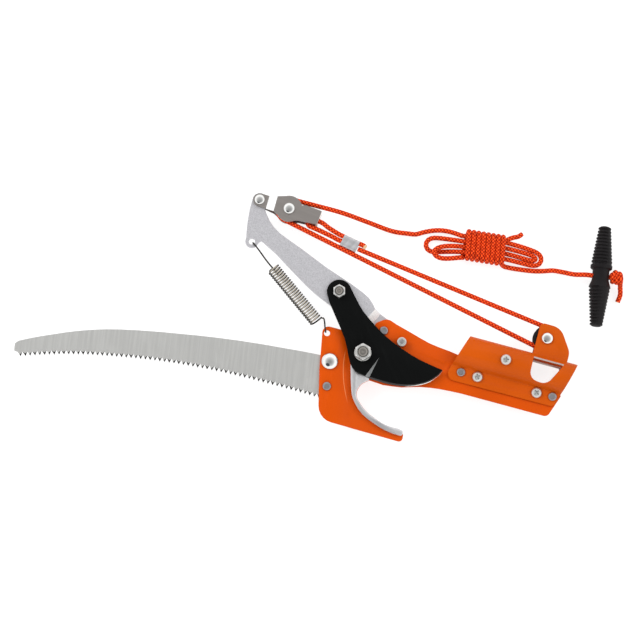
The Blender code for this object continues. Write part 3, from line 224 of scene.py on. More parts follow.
class NodeSheet:
    """The nodes of one material or of the sky, round its shader."""

    def __init__(self, owner: bpy.types.Material | bpy.types.World, shader: str) -> None:
        """Start with the shader that every new owner has.

        Args:
            owner: the material or the sky.
            shader: that shader's name.
        """
        owner.use_nodes = True
        self.tree = owner.node_tree
        self.shader = self.tree.nodes[shader]

    def node(
        self,
        kind: str,
        settings: dict[str, object] | None = None,
        sockets: dict[str | int, Link] | None = None,
        output: str | int = 0,
    ) -> Signal:
        """Add a node.

        Args:
            kind: the node's type, without its ShaderNode prefix.
            settings: what is set on the node itself; "stops" are a ramp's (place, colour) pairs.
            sockets: the values or signals of its inputs, by name or number.
            output: the output that is wanted, by name or number.

        Returns:
            That output.
        """
        made = self.tree.nodes.new("ShaderNode" + kind)
        for key, value in (settings or {}).items():
            if key != "stops":
                setattr(made, key, value)
                continue
            stops = made.color_ramp.elements
            while len(stops) > 1:
                stops.remove(stops[-1])
            for index, (place, colour) in enumerate(value):
                stop = stops[0] if index == 0 else stops.new(place)
                stop.position, stop.color = place, (*colour, 1.0)
        for key, value in (sockets or {}).items():
            self.feed(made.inputs[key], value)
        return Signal(self, made.outputs[output])

    def feed(self, socket: bpy.types.NodeSocket, value: Link) -> None:
        """Link a signal to a socket, or set a constant on it.

        Args:
            socket: the input.
            value: the signal, number or colour.
        """
        if isinstance(value, Signal):
            self.tree.links.new(value.socket, socket)
        elif socket.type == "RGBA" and len(value) == 3:
            socket.default_value = (*value, 1.0)
        else:
            socket.default_value = value

    def maths(self, operation: str, *values: Signal | float) -> Signal:
        """A Math node's result, from its inputs in order."""
        return self.node("Math", {"operation": operation}, dict(enumerate(values)))

    def vector(self, operation: str, first: Link, second: Link) -> Signal:
        """A Vector Math node's result."""
        return self.node("VectorMath", {"operation": operation}, {0: first, 1: second})

    def place(self) -> Signal:
        """The place on the piece, in metres of the frame."""
        return self.node("TexCoord", output="Object")

    def axes(self, vector: Signal) -> tuple[Signal, Signal, Signal]:
        """A vector's X, Y and Z."""
        parts = self.node("SeparateXYZ", None, {0: vector})
        return tuple(Signal(self, output) for output in parts.socket.node.outputs)

    def noise(self, scale: float, detail: float, vector: Signal | None = None, grain: float = 0.5) -> Signal:
        """A noise between 0 and 1, read at a vector or at the place; grain is how much its finer octaves count."""
        sockets = {"Vector": vector or self.place(), "Scale": scale, "Detail": detail, "Roughness": grain}
        return self.node("TexNoise", None, sockets)

    def streaks(self, angle: float, stretch: Place, detail: float, grain: float = 0.5) -> Signal:
        """A noise drawn out along one direction in plan, as brushing and rolling leave it.

        Args:
            angle: that direction.
            stretch: its scale along that direction, across it and upwards.
            detail: how many octaves it has.
            grain: how much the finer octaves count.

        Returns:
            The noise.
        """
        centred = self.vector("SUBTRACT", self.place(), tuple(DATUM))
        lined_up = self.node("Mapping", {"vector_type": "POINT"}, {"Vector": centred, "Rotation": (0.0, 0.0, -angle)})
        return self.noise(1.0, detail, self.vector("MULTIPLY", lined_up, stretch), grain)

    def mix(self, share: Signal | float, first: Link, second: Link) -> Signal:
        """A blend of two colours, by how much of the second one shows."""
        settings = {"data_type": "RGBA", "clamp_factor": True}
        return self.node("Mix", settings, {0: share, 6: first, 7: second}, output=2)

    def bump(self, height: Signal, depth: float, over: Signal | None = None) -> Signal:
        """A bumped normal.

        Args:
            height: the height, 0 to 1.
            depth: what a height of 1 stands for, in millimetres.
            over: a normal that is bumped further.

        Returns:
            The normal.
        """
        sockets: dict[str | int, Link] = {"Strength": 1.0, "Distance": depth * MM, "Height": height}
        if over is not None:
            sockets["Normal"] = over
        return self.node("Bump", None, sockets)

    def lay(self, **parts: Link) -> None:
        """Set the shader's own sockets, by their names with _ for a space.

        Args:
            parts: the values or signals.
        """
        for name, value in parts.items():
            socket = next(s for s in self.shader.inputs if s.name.lower().replace(" ", "_") == name)
            self.feed(socket, value)


# ---------------------------------------------------------------- finishes


@dataclass(frozen=True)
class Finish:
    """A surface finish, whose material is made once."""

    label: str
    slot: Slot
    colour: Colour
    roughness: float

    def material(self) -> bpy.types.Material:
        """The finish's material, made when it is first asked for.

        Returns:
            The material.
        """
        found = bpy.data.materials.get(self.label)
        if found is None:
            found = bpy.data.materials.new(self.label)
            self.dress(NodeSheet(found, "Principled BSDF"))
        return found

    def shade(self, factor: float) -> Colour:
        """The finish's colour, darker or lighter."""
        return tuple(min(part * factor, 1.0) for part in self.colour)

    def coats(self, sheet: NodeSheet, under: float, *over: tuple[Signal | float, float | Colour]) -> Signal:
        """The finish's colour under thin coats, each one a shade of it or a colour of its own.

        Args:
            sheet: the material's nodes.
            under: the shade underneath.
            over: how much of each coat shows, and the coat.

        Returns:
            The colour.
        """
        colour: Link = self.shade(under)
        for share, coat in over:
            colour = sheet.mix(share, colour, self.shade(coat) if isinstance(coat, float) else coat)
        return colour

    def dress(self, sheet: NodeSheet) -> None:
        """Lay the finish's nodes on a material's sheet."""
        raise NotImplementedError


@dataclass(frozen=True)
class SprayedPaint(Finish):
    """Baked spray paint on pressed steel: a fine orange peel, faint cloudiness, dulled patches and a painted crease
    highlight.
    """

    window_metal: bool = False
    paints_crease_highlight: bool = False
    bare: Colour = display(196, 184, 178)
    # the colour of the painted highlight along the plate's crease
    crease_highlight: Colour = display(236, 150, 96)
    strip: tuple[float, float] = (144.0, 170.3)

    def dress(self, sheet: NodeSheet) -> None:
        """Lay the paint, with the sheared edge above the socket's window left bare and a painted highlight along the
        plate's crease, each where asked.

        Args:
            sheet: the material's nodes.
        """
        cloud = sheet.noise(22.0, 2.0)
        speckle = sheet.noise(1700.0, 2.0).ease(0.62, 0.8)
        rubbed = sheet.noise(85.0, 5.0, grain=0.62).ease(0.56, 0.74)
        colour = self.coats(sheet, 0.93, (cloud.ease(0.3, 0.7), 1.05), (speckle * 0.22, 1.35), (rubbed * 0.16, 0.72))
        metallic: Link = 0.0
        if self.window_metal:
            strip = self.bare_strip(sheet)
            colour, metallic = sheet.mix(strip, colour, self.bare), strip * 0.75
        peel = sheet.bump(sheet.noise(620.0, 1.0), 0.035)
        # painted highlight: a lighter line along the plate's crease, where its bend would catch the light; the bump
        # with it is real shape
        if self.paints_crease_highlight:
            line = self.crease_highlight_mask(sheet)
            colour, peel = sheet.mix(line * 0.55, colour, self.crease_highlight), sheet.bump(line, 0.12, peel)
        sheet.lay(
            base_color=colour,
            metallic=metallic,
            roughness=self.roughness + 0.1 * cloud + 0.12 * rubbed,
            specular_ior_level=0.08,
            coat_weight=0.06 * (1 - rubbed),
            coat_roughness=0.16,
            normal=sheet.bump(sheet.noise(2600.0, 1.0), 0.006, peel),
        )

    def crease_highlight_mask(self, sheet: NodeSheet) -> Signal:
        """The thin line where the plate was pressed, beside the anvil, which is painted lighter as a highlight.

        Args:
            sheet: the material's nodes.

        Returns:
            1 on the line, 0 elsewhere.
        """
        place = sheet.vector("SUBTRACT", sheet.place(), tuple(DATUM))
        x, y, _ = sheet.axes(sheet.node("VectorMath", {"operation": "SCALE"}, {0: place, "Scale": 1 / MM}))
        off = abs(x - (0.0062 * y * y - 0.0281 * y - 15.1))
        return (1 - off.ease(0.15, 0.55)) * y.ease(-47.0, -36.0) * (1 - y.ease(-8.0, 1.0))

    def bare_strip(self, sheet: NodeSheet) -> Signal:
        """Where the shell's sheared edge shows bare, along the top of its window.

        Args:
            sheet: the material's nodes.

        Returns:
            1 on the strip, 0 elsewhere.
        """
        x, y, _ = sheet.axes(sheet.place())
        over = y + (sheet.noise(900.0, 3.0) - 0.5) * 0.0005 - (DATUM.y + PoleSocket.window_top * MM)
        left, right = (DATUM.x + end * MM for end in self.strip)
        up = over.ease(-0.0006, 0.0) * (1 - over.ease(0.0010, 0.0015))
        return up * (x - left).ease(-0.0005, 0.0005) * (right - x).ease(-0.0005, 0.0005)


@dataclass(frozen=True)
class BlastedSteel(Finish):
    """Bare steel with a shot-blasted grain, as on the lever: matte, sparkling, with faint rolling marks."""

    metallic: float = 0.9

    def dress(self, sheet: NodeSheet) -> None:
        """Lay the grain.

        Args:
            sheet: the material's nodes.
        """
        grain = sheet.noise(1300.0, 3.0, grain=0.6)
        pits = sheet.noise(520.0, 4.0, grain=0.7)
        rolled = sheet.streaks(math.radians(-34), (60.0, 900.0, 900.0), 3.0).ease(0.55, 0.7)
        coats = (grain.ease(0.3, 0.7), 1.1), (pits.ease(0.55, 0.72) * 0.5, 0.74), (rolled * 0.35, 1.16)
        sheet.lay(
            base_color=self.coats(sheet, 0.84, *coats),
            metallic=self.metallic,
            roughness=self.roughness + 0.16 * pits,
            normal=sheet.bump(pits, 0.05, sheet.bump(grain, 0.045)),
        )


@dataclass(frozen=True)
class BrushedSteel(Finish):
    """Bare steel brushed one way, as on the saw, the anvil and the pulley strap."""

    angle: float
    contrast: float = 1.0

    def dress(self, sheet: NodeSheet) -> None:
        """Lay fine scratches along the brushing, with a few longer ones.

        Args:
            sheet: the material's nodes.
        """
        fine = sheet.streaks(self.angle, (45.0, 3200.0, 3200.0), 3.0, 0.65)
        broad = sheet.streaks(self.angle, (14.0, 420.0, 420.0), 2.0).ease(0.35, 0.65)
        deep = sheet.streaks(self.angle + 0.05, (30.0, 1500.0, 1500.0), 2.0).ease(0.66, 0.74)
        stain = sheet.noise(70.0, 5.0, grain=0.6).ease(0.5, 0.75)
        spread = 0.13 * self.contrast
        coats = (fine, 1 + spread), (broad * 0.6 * self.contrast, 0.88), (deep * 0.5, 0.62), (stain * 0.2, 0.8)
        sheet.lay(
            base_color=self.coats(sheet, 1 - spread, *coats),
            metallic=0.95,
            roughness=self.roughness + 0.12 * fine + 0.08 * stain,
            normal=sheet.bump(deep, -0.02, sheet.bump(fine, 0.012)),
        )


@dataclass(frozen=True)
class PlatedSteel(Finish):
    """Zinc or nickel plate on a turned fixing: bright, with turning marks and a few dull spots."""

    tarnish: float = 0.5

    def dress(self, sheet: NodeSheet) -> None:
        """Lay the plate.

        Args:
            sheet: the material's nodes.
        """
        spots = sheet.noise(480.0, 4.0, grain=0.6).ease(0.52, 0.7) * self.tarnish
        sheet.lay(
            base_color=self.coats(sheet, 0.95, (sheet.noise(150.0, 2.0), 1.06), (spots * 0.6, 0.6)),
            metallic=1.0,
            roughness=self.roughness + 0.3 * spots,
            normal=sheet.bump(sheet.noise(900.0, 3.0), 0.012 * self.tarnish),
        )


@dataclass(frozen=True)
class SpringWire(Finish):
    """Drawn spring wire with painted shade: its colour falls to near black below the coil's middle height, for the
    shade inside and underneath the turns.
    """

    middle: float = 2.95

    def dress(self, sheet: NodeSheet) -> None:
        """Lay the wire, with its die marks.

        Args:
            sheet: the material's nodes.
        """
        _, _, z = sheet.axes(sheet.place())
        # painted shade: below the coil's middle height the wire is darkened to a twentieth of its colour
        lit_upper_side = (z - (DATUM.z + self.middle * MM)).ease(0.0030, 0.0058)
        marks = sheet.noise(1500.0, 3.0, grain=0.6)
        sheet.lay(
            base_color=self.coats(sheet, 0.05, (lit_upper_side, 1.0), (marks.ease(0.5, 0.7) * 0.3, 0.5)),
            metallic=1.0,
            roughness=self.roughness + 0.2 * marks,
            normal=sheet.bump(marks, 0.01),
        )


@dataclass(frozen=True)
class BlackCoat(Finish):
    """The blade's black non-stick coat: satin, finely grained, with lighter wiped streaks."""

    def dress(self, sheet: NodeSheet) -> None:
        """Lay the coat.

        Args:
            sheet: the material's nodes.
        """
        grain = sheet.noise(1500.0, 3.0, grain=0.6)
        wiped = sheet.streaks(math.radians(-52), (40.0, 260.0, 260.0), 4.0)
        sheet.lay(
            base_color=self.coats(sheet, 0.75, (grain, 1.35), (wiped.ease(0.5, 0.8) * 0.5, 1.9)),
            roughness=self.roughness + 0.1 * wiped,
            specular_ior_level=0.06,
            normal=sheet.bump(grain, 0.02),
        )


@dataclass(frozen=True)
class GroundEdge(Finish):
    """A ground cutting edge: bright below a height, which rises towards the tip, and still coated above it."""

    coat: Colour
    bright_below: float
    tip_from: float = 34.0
    tip_over: float = 22.0
    tip_rise: float = 1.2

    def dress(self, sheet: NodeSheet) -> None:
        """Lay the grinding, across the edge.

        Args:
            sheet: the material's nodes.
        """
        x, _, z = sheet.axes(sheet.place())
        tip = (x - (DATUM.x + self.tip_from * MM)).ease(0.0, self.tip_over * MM)
        ripple = (sheet.noise(260.0, 2.0) - 0.5) * 0.0009
        over = z + ripple - (DATUM.z + self.bright_below * MM) - self.tip_rise * MM * tip
        bright = 1 - over.ease(-0.0002, 0.0001)
        lines = sheet.streaks(math.radians(60), (60.0, 2600.0, 60.0), 2.0)
        sheet.lay(
            base_color=sheet.mix(bright, self.coat, self.coats(sheet, 0.85, (lines, 1.1))),
            metallic=bright * 0.9,
            roughness=self.roughness + 0.25 * (1 - bright),
            normal=sheet.bump(lines, 0.01),
        )


@dataclass(frozen=True)
class BraidedCord(Finish):
    """Plaited polyester cord: two sets of strands over and under, with dark red tracers, a painted highlight on the
    strands' crowns and painted shade, in the tracers' dark red, in the grooves between them.
    """

    tracer_and_groove_shade: Colour
    starts: int
    pitch: float
    crown_highlight: Colour = display(250, 104, 46)
    bloom: Colour = display(255, 130, 80)

    def dress(self, sheet: NodeSheet) -> None:
        """Lay the plait on the cord's own map: U along it in centimetres, V round it.

        Args:
            sheet: the material's nodes.
        """
        place = sheet.node("UVMap", {"uv_map": "cord"})
        run, around, _ = sheet.axes(place)
        step = run * (10.0 / self.pitch)
        left, right = around * self.starts + step, around * self.starts - step
        over = ((left.floor() + right.floor()) * 0.5).fraction() > 0.25
        crown_left, crown_right = ((strand.fraction() * math.pi).sine() for strand in (left, right))
        crown = crown_left * over + crown_right * (1 - over)
        cross = crown_right * over + crown_left * (1 - over)
        height = crown * (0.45 + 0.55 * cross)
        traced = ((left.floor() / 3.0).fraction() < 0.2) * over
        fuzz = sheet.noise(4200.0, 3.0, grain=0.7)
        fibre = sheet.noise(1.0, 2.0, sheet.vector("MULTIPLY", place, (18.0, 90.0, 0.0)))
        # painted highlight on the strands' crowns and painted shade in the grooves between them; the tracer colour
        # serves both the real tracers and that shade
        colour = self.coats(
            sheet,
            0.8,
            (fuzz, 1.25),
            (height.ease(0.45, 0.9) * 0.6, self.crown_highlight),
            (fibre.ease(0.4, 0.7) * 0.25, 1.35),
            (traced * 0.35, self.tracer_and_groove_shade),
            ((1 - height.ease(0.2, 0.72)) * 0.92, self.tracer_and_groove_shade),
            (sheet.noise(60.0, 3.0).ease(0.4, 0.7) * 0.12, 1.25),
        )
        sheet.lay(
            base_color=colour,
            roughness=self.roughness + 0.1 * fuzz,
            specular_ior_level=0.12,
            sheen_weight=0.06,
            sheen_roughness=0.4,
            sheen_tint=self.bloom,
            normal=sheet.bump(fuzz, 0.03, sheet.bump(height, 0.16)),
        )


@dataclass(frozen=True)
class CutFibre(Finish):
    """A cord's cut and melted end, where the pale core shows."""

    burnt: Colour = display(170, 70, 40)

    def dress(self, sheet: NodeSheet) -> None:
        """Lay the fibre ends.

        Args:
            sheet: the material's nodes.
        """
        ends = sheet.noise(2600.0, 3.0, grain=0.7)
        melted = sheet.noise(500.0, 2.0).ease(0.55, 0.75)
        colour = self.coats(sheet, 0.7, (ends, 1.2), (melted * 0.5, self.burnt))
        sheet.lay(base_color=colour, roughness=self.roughness, normal=sheet.bump(ends, 0.12))


@dataclass(frozen=True)
class MouldedPlastic(Finish):
    """Black moulded plastic with a faint spark-eroded grain and handling gloss."""

    def dress(self, sheet: NodeSheet) -> None:
        """Lay the moulding.

        Args:
            sheet: the material's nodes.
        """
        grain = sheet.noise(1900.0, 3.0, grain=0.6)
        handled = sheet.noise(55.0, 4.0).ease(0.42, 0.68)
        sheet.lay(
            base_color=self.coats(sheet, 0.8, (grain, 1.25), (handled * 0.35, 1.6)),
            roughness=self.roughness - 0.12 * handled + 0.08 * grain,
            specular_ior_level=0.12,
            normal=sheet.bump(grain, 0.03),
        )


@dataclass(frozen=True)
class StudioPaper(Finish):
    """The pale paper that the saw head lies on."""

    def dress(self, sheet: NodeSheet) -> None:
        """Lay the paper.

        Args:
            sheet: the material's nodes.
        """
        sheet.lay(
            base_color=self.coats(sheet, 0.995, (sheet.noise(3.0, 2.0), 1.0)),
            roughness=self.roughness,
            specular_ior_level=0.1,
            normal=sheet.bump(sheet.noise(700.0, 2.0), 0.01),
            emission_color=(1.0, 1.0, 1.0),
            emission_strength=0.8,
        )


PAINT = SprayedPaint("orange_paint_plate", Slot.ORANGE_PAINT, display(197, 73, 3), 0.36, paints_crease_highlight=True)
SHELL_PAINT = SprayedPaint("orange_paint_shell", Slot.ORANGE_PAINT, display(190, 78, 5), 0.38, window_metal=True)
LEVER_STEEL = BlastedSteel("blasted_lever_steel", Slot.BRUSHED_STEEL, display(216, 215, 219), 0.42)
# painted highlight: a near-white copy of the lever steel for its tilted step faces
LEVER_STEP_LIT = BlastedSteel("drawn_lever_step", Slot.BRUSHED_STEEL, display(250, 250, 248), 0.62, 0.35)
SAW_STEEL = BrushedSteel("brushed_saw_steel", Slot.BRUSHED_STEEL, display(226, 226, 223), 0.34, math.radians(99))
ANVIL_STEEL = BrushedSteel(
    "ground_anvil_steel", Slot.BRUSHED_STEEL, display(228, 227, 229), 0.3, math.radians(-40), 0.6
)
# painted highlight: a near-white copy of the strap steel for the faces of its fold
STRAP_FOLD_LIT = BrushedSteel("bright_strap_fold", Slot.BRUSHED_STEEL, display(250, 248, 242), 0.5, math.radians(84), 0.5)
STRAP_STEEL = BrushedSteel("satin_strap_steel", Slot.BRUSHED_STEEL, display(164, 158, 154), 0.38, math.radians(-6), 0.7)
# painted shade: a nearly black copy of the saw steel for the teeth's tilted ground faces
TOOTH_BEVEL_SHADE = BrushedSteel("ground_tooth_steel", Slot.BRUSHED_STEEL, display(50, 48, 46), 0.3, math.radians(40), 0.5)
GROOVE_STEEL = BrushedSteel("milled_groove_steel", Slot.BRUSHED_STEEL, display(176, 178, 178), 0.3, math.radians(70))
ZINC = PlatedSteel("zinc_plate", Slot.ZINC_PLATE, display(228, 224, 218), 0.24)
RIVET_STEEL = PlatedSteel("rivet_steel", Slot.ZINC_PLATE, display(168, 165, 168), 0.36, 0.8)
CHROME = PlatedSteel("chrome_plate", Slot.ZINC_PLATE, display(236, 236, 234), 0.09, 0.1)
THREAD_STEEL = PlatedSteel("oiled_thread_steel", Slot.ZINC_PLATE, display(150, 146, 140), 0.36, 0.8)
SPRING_STEEL = SpringWire("drawn_spring_wire", Slot.ZINC_PLATE, display(196, 188, 174), 0.3)
ALLOY = BrushedSteel("crimped_alloy", Slot.ZINC_PLATE, display(210, 210, 212), 0.42, math.radians(60), 1.6)
BLADE_BLACK = BlackCoat("black_blade_coat", Slot.BLACK_COATING, display(9, 10, 10), 0.46)
BLADE_EDGE_GRIND = GroundEdge(
    "ground_blade_edge", Slot.BLACK_COATING, display(238, 236, 230), 0.24, coat=BLADE_BLACK.colour, bright_below=4.7
)
CORD = BraidedCord(
    "braided_cord", Slot.ROPE_BRAID, display(226, 58, 8), 0.66, tracer_and_groove_shade=display(112, 10, 2), starts=4, pitch=3.0
)
CORD_END = CutFibre("cut_cord_end", Slot.ROPE_BRAID, display(238, 205, 160), 0.8)
PLASTIC = MouldedPlastic("black_handle_plastic", Slot.BLACK_PLASTIC, display(24, 22, 23), 0.5)
NYLON = MouldedPlastic("black_sheave_nylon", Slot.BLACK_PLASTIC, display(26, 26, 27), 0.42)
PAPER = StudioPaper("studio_paper", Slot.BLACK_PLASTIC, (0.3, 0.3, 0.3), 0.85)


# ---------------------------------------------------------------- making pieces


def carried(node: str, edge: float = 0.0, corner: float = 40.0) -> BMesh:
    """A copy of a CAD node's mesh in the plan, merged, with its flat faces whole again and its edges broken.

    Args:
        node: the CAD node.
        edge: how wide the broken edges are.
        corner: the least angle of an edge that is broken, in degrees.

    Returns:
        The copy.
    """
    bm = bmesh.new()
    bm.from_mesh(frame["nodes"][node].data)
    bmesh.ops.transform(bm, matrix=TO_PLAN, verts=bm.verts)
    bmesh.ops.remove_doubles(bm, verts=bm.verts, dist=2e-3)
    bmesh.ops.dissolve_limit(bm, angle_limit=math.radians(0.8), verts=bm.verts, edges=bm.edges)
    if edge > 0:
        break_edges(bm, edge, corner)
    return bm


def break_edges(bm: BMesh, width: float, corner: float) -> None:
    """Bevel the edges that turn by more than an angle.

    Args:
        bm: the mesh.
        width: the bevel's width.
        corner: that angle, in degrees.
    """
    sharp = [e for e in bm.edges if len(e.link_faces) == 2 and e.calc_face_angle(0.0) > math.radians(corner)]
    bmesh.ops.bevel(bm, geom=sharp, offset=width, offset_type="OFFSET", segments=2, profile=0.5, affect="EDGES",
                    clamp_overlap=True, material=-1)


def meshed(name: str, bm: BMesh) -> bpy.types.Mesh:
    """A mesh with a bmesh's faces, which is used up.

    Args:
        name: the mesh's name.
        bm: the bmesh.

    Returns:
        The mesh.
    """
    mesh = bpy.data.meshes.new(name)
    bm.to_mesh(mesh)
    bm.free()
    return mesh


def placed(name: str, data: bpy.types.ID) -> bpy.types.Object:
    """A new object in the scene, unturned and at the origin.

    Args:
        name: the object's name.
        data: its mesh, light or camera.

    Returns:
        The object.
    """
    made = bpy.data.objects.new(name, data)
    bpy.context.collection.objects.link(made)
    return made


def piece(
    name: str,
    bm: BMesh,
    finishes: Sequence[Finish],
    body: Body | None,
    stands_for: Sequence[str],
    crease: float = 32.0,
) -> bpy.types.Object:
    """Turn a closed mesh in the plan into a dressed piece in the frame.

    Args:
        name: the piece's name.
        bm: its mesh, which is used up.
        finishes: its finishes, in the order of its faces' numbers.
        body: the body that it rides on, or None for a piece that is left unattached.
        stands_for: the CAD nodes that it replaces.
        crease: the angle above which an edge stays sharp, in degrees.

    Returns:
        The piece's object.
    """
    bmesh.ops.recalc_face_normals(bm, faces=bm.faces)
    bmesh.ops.transform(bm, matrix=TO_FRAME, verts=bm.verts)
    mesh = meshed(name, bm)
    mesh.shade_smooth()
    mesh.set_sharp_from_angle(angle=math.radians(crease))
    for finish in finishes:
        mesh.materials.append(finish.material())
    made = placed(name, mesh)
    if stands_for:
        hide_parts(*stands_for)
    if body is not None:
        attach(made, body.value)
    LOG.info("%s: %d faces", name, len(mesh.polygons))
    return made


def number_faces(bm: BMesh, number: int, chosen: Callable[[BMFace], bool]) -> None:
    """Give the chosen faces a finish by its number.

    Args:
        bm: the mesh.
        number: the finish's place in the piece's list.
        chosen: which faces get it.
    """
    for face in bm.faces:
        if chosen(face):
            face.material_index = number


def cut_with(first: BMesh, tools: Sequence[BMesh]) -> BMesh:
    """Cut a mesh with others. All of them are used up.

    Args:
        first: the mesh that is cut.
        tools: the others.

    Returns:
        The result.
    """
    made = []
    for bm in (first, *tools):
        bmesh.ops.recalc_face_normals(bm, faces=bm.faces)
        made.append(placed("workpiece", meshed("workpiece", bm)))
    for tool in made[1:]:
        modifier = made[0].modifiers.new("cut", "BOOLEAN")
        modifier.operation, modifier.object = "DIFFERENCE", tool
    bpy.context.view_layer.update()
    out = bmesh.new()
    out.from_mesh(made[0].evaluated_get(bpy.context.evaluated_depsgraph_get()).to_mesh())
    for item in made:
        mesh = item.data
        bpy.data.objects.remove(item)
        bpy.data.meshes.remove(mesh)
    return out


def turned(profile: Sequence[Point], centre: Point, segments: int) -> BMesh:
    """A round piece on an upright axis.

    Args:
        profile: its (radius, height) points, from axis to axis or back to the first one.
        centre: the axis, in plan.
        segments: how many faces it has round.

    Returns:
        The mesh.
    """
    bm = bmesh.new()
    verts = [bm.verts.new((centre[0] + r, centre[1], z)) for r, z in profile]
    edges = [bm.edges.new(pair) for pair in zip(verts, verts[1:])]
    bmesh.ops.spin(
        bm, geom=verts + edges, cent=(*centre, 0), axis=(0, 0, 1), angle=TURN, steps=segments, use_merge=True
    )
    bmesh.ops.remove_doubles(bm, verts=bm.verts, dist=1e-3)
    return bm


class Stack:
    """A piece grown ring by ring round an upright axis, where a ring can follow any outline."""

    SIDES = 72

    def __init__(self, centre: Point) -> None:
        """Start with no ring round an axis, which is given in plan."""
        self.centre, self.bm = centre, bmesh.new()
        self.first: list[BMEdge] = []
        self.last: list[BMEdge] = []

    def ring(self, radius: Measure, height: Measure) -> "Stack":
        """Grow the next ring.

        Args:
            radius: its radius, or what gives that from the angle.
            height: its height, or what gives that from the angle.

        Returns:
            The stack.
        """
        if not self.first:
            made = bmesh.ops.create_circle(self.bm, cap_ends=False, segments=self.SIDES, radius=1.0)
            verts = made["verts"]
            bmesh.ops.translate(self.bm, vec=(*self.centre, 0), verts=verts)
            self.first = self.last = list({e for v in verts for e in v.link_edges})
        else:
            grown = bmesh.ops.extrude_edge_only(self.bm, edges=self.last)["geom"]
            verts = [g for g in grown if isinstance(g, BMVert)]
            mine = set(verts)
            edges = [g for g in grown if isinstance(g, BMEdge)]
            self.last = [e for e in edges if e.verts[0] in mine and e.verts[1] in mine]
        for vert in verts:
            angle = math.atan2(vert.co.y - self.centre[1], vert.co.x - self.centre[0])
            r = radius(angle) if callable(radius) else radius
            z = height(angle) if callable(height) else height
            vert.co = (self.centre[0] + r * math.cos(angle), self.centre[1] + r * math.sin(angle), z)
        return self

    def capped(self) -> BMesh:
        """The mesh with both ends filled."""
        bmesh.ops.holes_fill(self.bm, edges=[e for e in self.bm.edges if e.is_boundary], sides=0)
        return self.bm

    def bored(self) -> BMesh:
        """The mesh with its last ring joined to its first."""
        bmesh.ops.bridge_loops(self.bm, edges=list(self.first) + list(self.last))
        return self.bm


def hexagon(flats: float, turn: float) -> Callable[[float], float]:
    """What gives a hexagon's radius at an angle, from the width across its flats and the angle of a corner."""
    return lambda angle: flats / 2 / math.cos((angle - turn) % (math.pi / 3) - math.pi / 6)


def thread(radius: float, depth: float, low: float, high: float, pitch: float, root: float) -> list[Point]:
    """A thread's side.

    Args:
        radius: its outer radius.
        depth: how deep it is cut.
        low: where its first turn starts.
        high: what its last turn starts below.
        pitch: the height of a turn.
        root: how far up a turn its root lies.

    Returns:
        Its (radius, height) points.
    """
    side, place = [], low
    while place < high:
        side += [(radius, place), (radius - depth, place + root)]
        place += pitch
    return side


def dome_side(radius: float, low: float, rise: float, power: float = 1.0, steps: int = 12) -> list[Point]:
    """A dome's (radius, height) points above its rim; with a power below 1 it is fuller than a round one."""
    angles = [math.pi / 2 * step / steps for step in range(1, steps)]
    return [(radius * math.cos(a) ** power, low + rise * math.sin(a)) for a in angles] + [(0, low + rise)]


def hex_nut(
    centre: Point, flats: float, bore: float, seat: float, height: float, turn: float
) -> BMesh:
    """A hexagon nut with chamfered corners and a countersunk bore; a negative height faces it down.

    Args:
        centre: its axis, in plan.
        flats: the width across its flats.
        bore: its bore's radius.
        seat: the height of its seat.
        height: its own height.
        turn: the angle of one of its corners.

    Returns:
        The nut.
    """
    side, up = hexagon(flats, turn), math.copysign(1.0, height)
    land, top = flats / 2 * 0.985, seat + height
    stack = Stack(centre)
    stack.ring(bore, seat)
    stack.ring(lambda a: min(side(a), land), seat)
    stack.ring(side, lambda a: seat + up * max(side(a) - land, 0.0) * 0.45)
    stack.ring(side, lambda a: top - up * (max(side(a) - land, 0.0) * 0.6 + 0.12))
    stack.ring(lambda a: side(a) - 0.1, lambda a: top - up * max(side(a) - land, 0.0) * 0.6)
    stack.ring(land - 0.25, top)
    stack.ring(bore + 0.7, top)
    stack.ring(bore + 0.55, top - up * 0.1)
    stack.ring(bore, top - up * 0.6)
    return stack.bored()


def threaded_bolt(
    centre: Point, flats: float, shank: float, head_high: float, head: float, top: float, turn: float
) -> BMesh:
    """A hexagon bolt with its head below and a threaded end above.

    Args:
        centre: its axis, in plan.
        flats: the width across its head's flats.
        shank: its shank's radius.
        head_high: the height of its head's bearing face.
        head: the head's own height.
        top: the height where the shank ends.
        turn: the angle of one of the head's corners.

    Returns:
        The bolt.
    """
    side, low, land = hexagon(flats, turn), head_high - head, flats / 2 * 0.96
    stack = Stack(centre)
    stack.ring(land * 0.55, low + 0.25).ring(land * 0.62, low).ring(land, low)
    stack.ring(lambda a: side(a) - 0.1, lambda a: low + max(side(a) - land, 0.0) * 0.6)
    stack.ring(side, lambda a: low + max(side(a) - land, 0.0) * 0.6 + 0.12)
    stack.ring(side, head_high - 0.1).ring(lambda a: side(a) - 0.15, head_high)
    stack.ring(shank, head_high)
    for radius, height in thread(shank, 0.34, top - 5.0, top - 0.8, 0.5, 0.22):
        stack.ring(radius, height)
    stack.ring(shank - 0.15, top - 0.6).ring(shank - 0.75, top - 0.08).ring(shank - 0.95, top)
    stack.ring(0.55, top).ring(0.3, top - 0.12)
    return stack.capped()


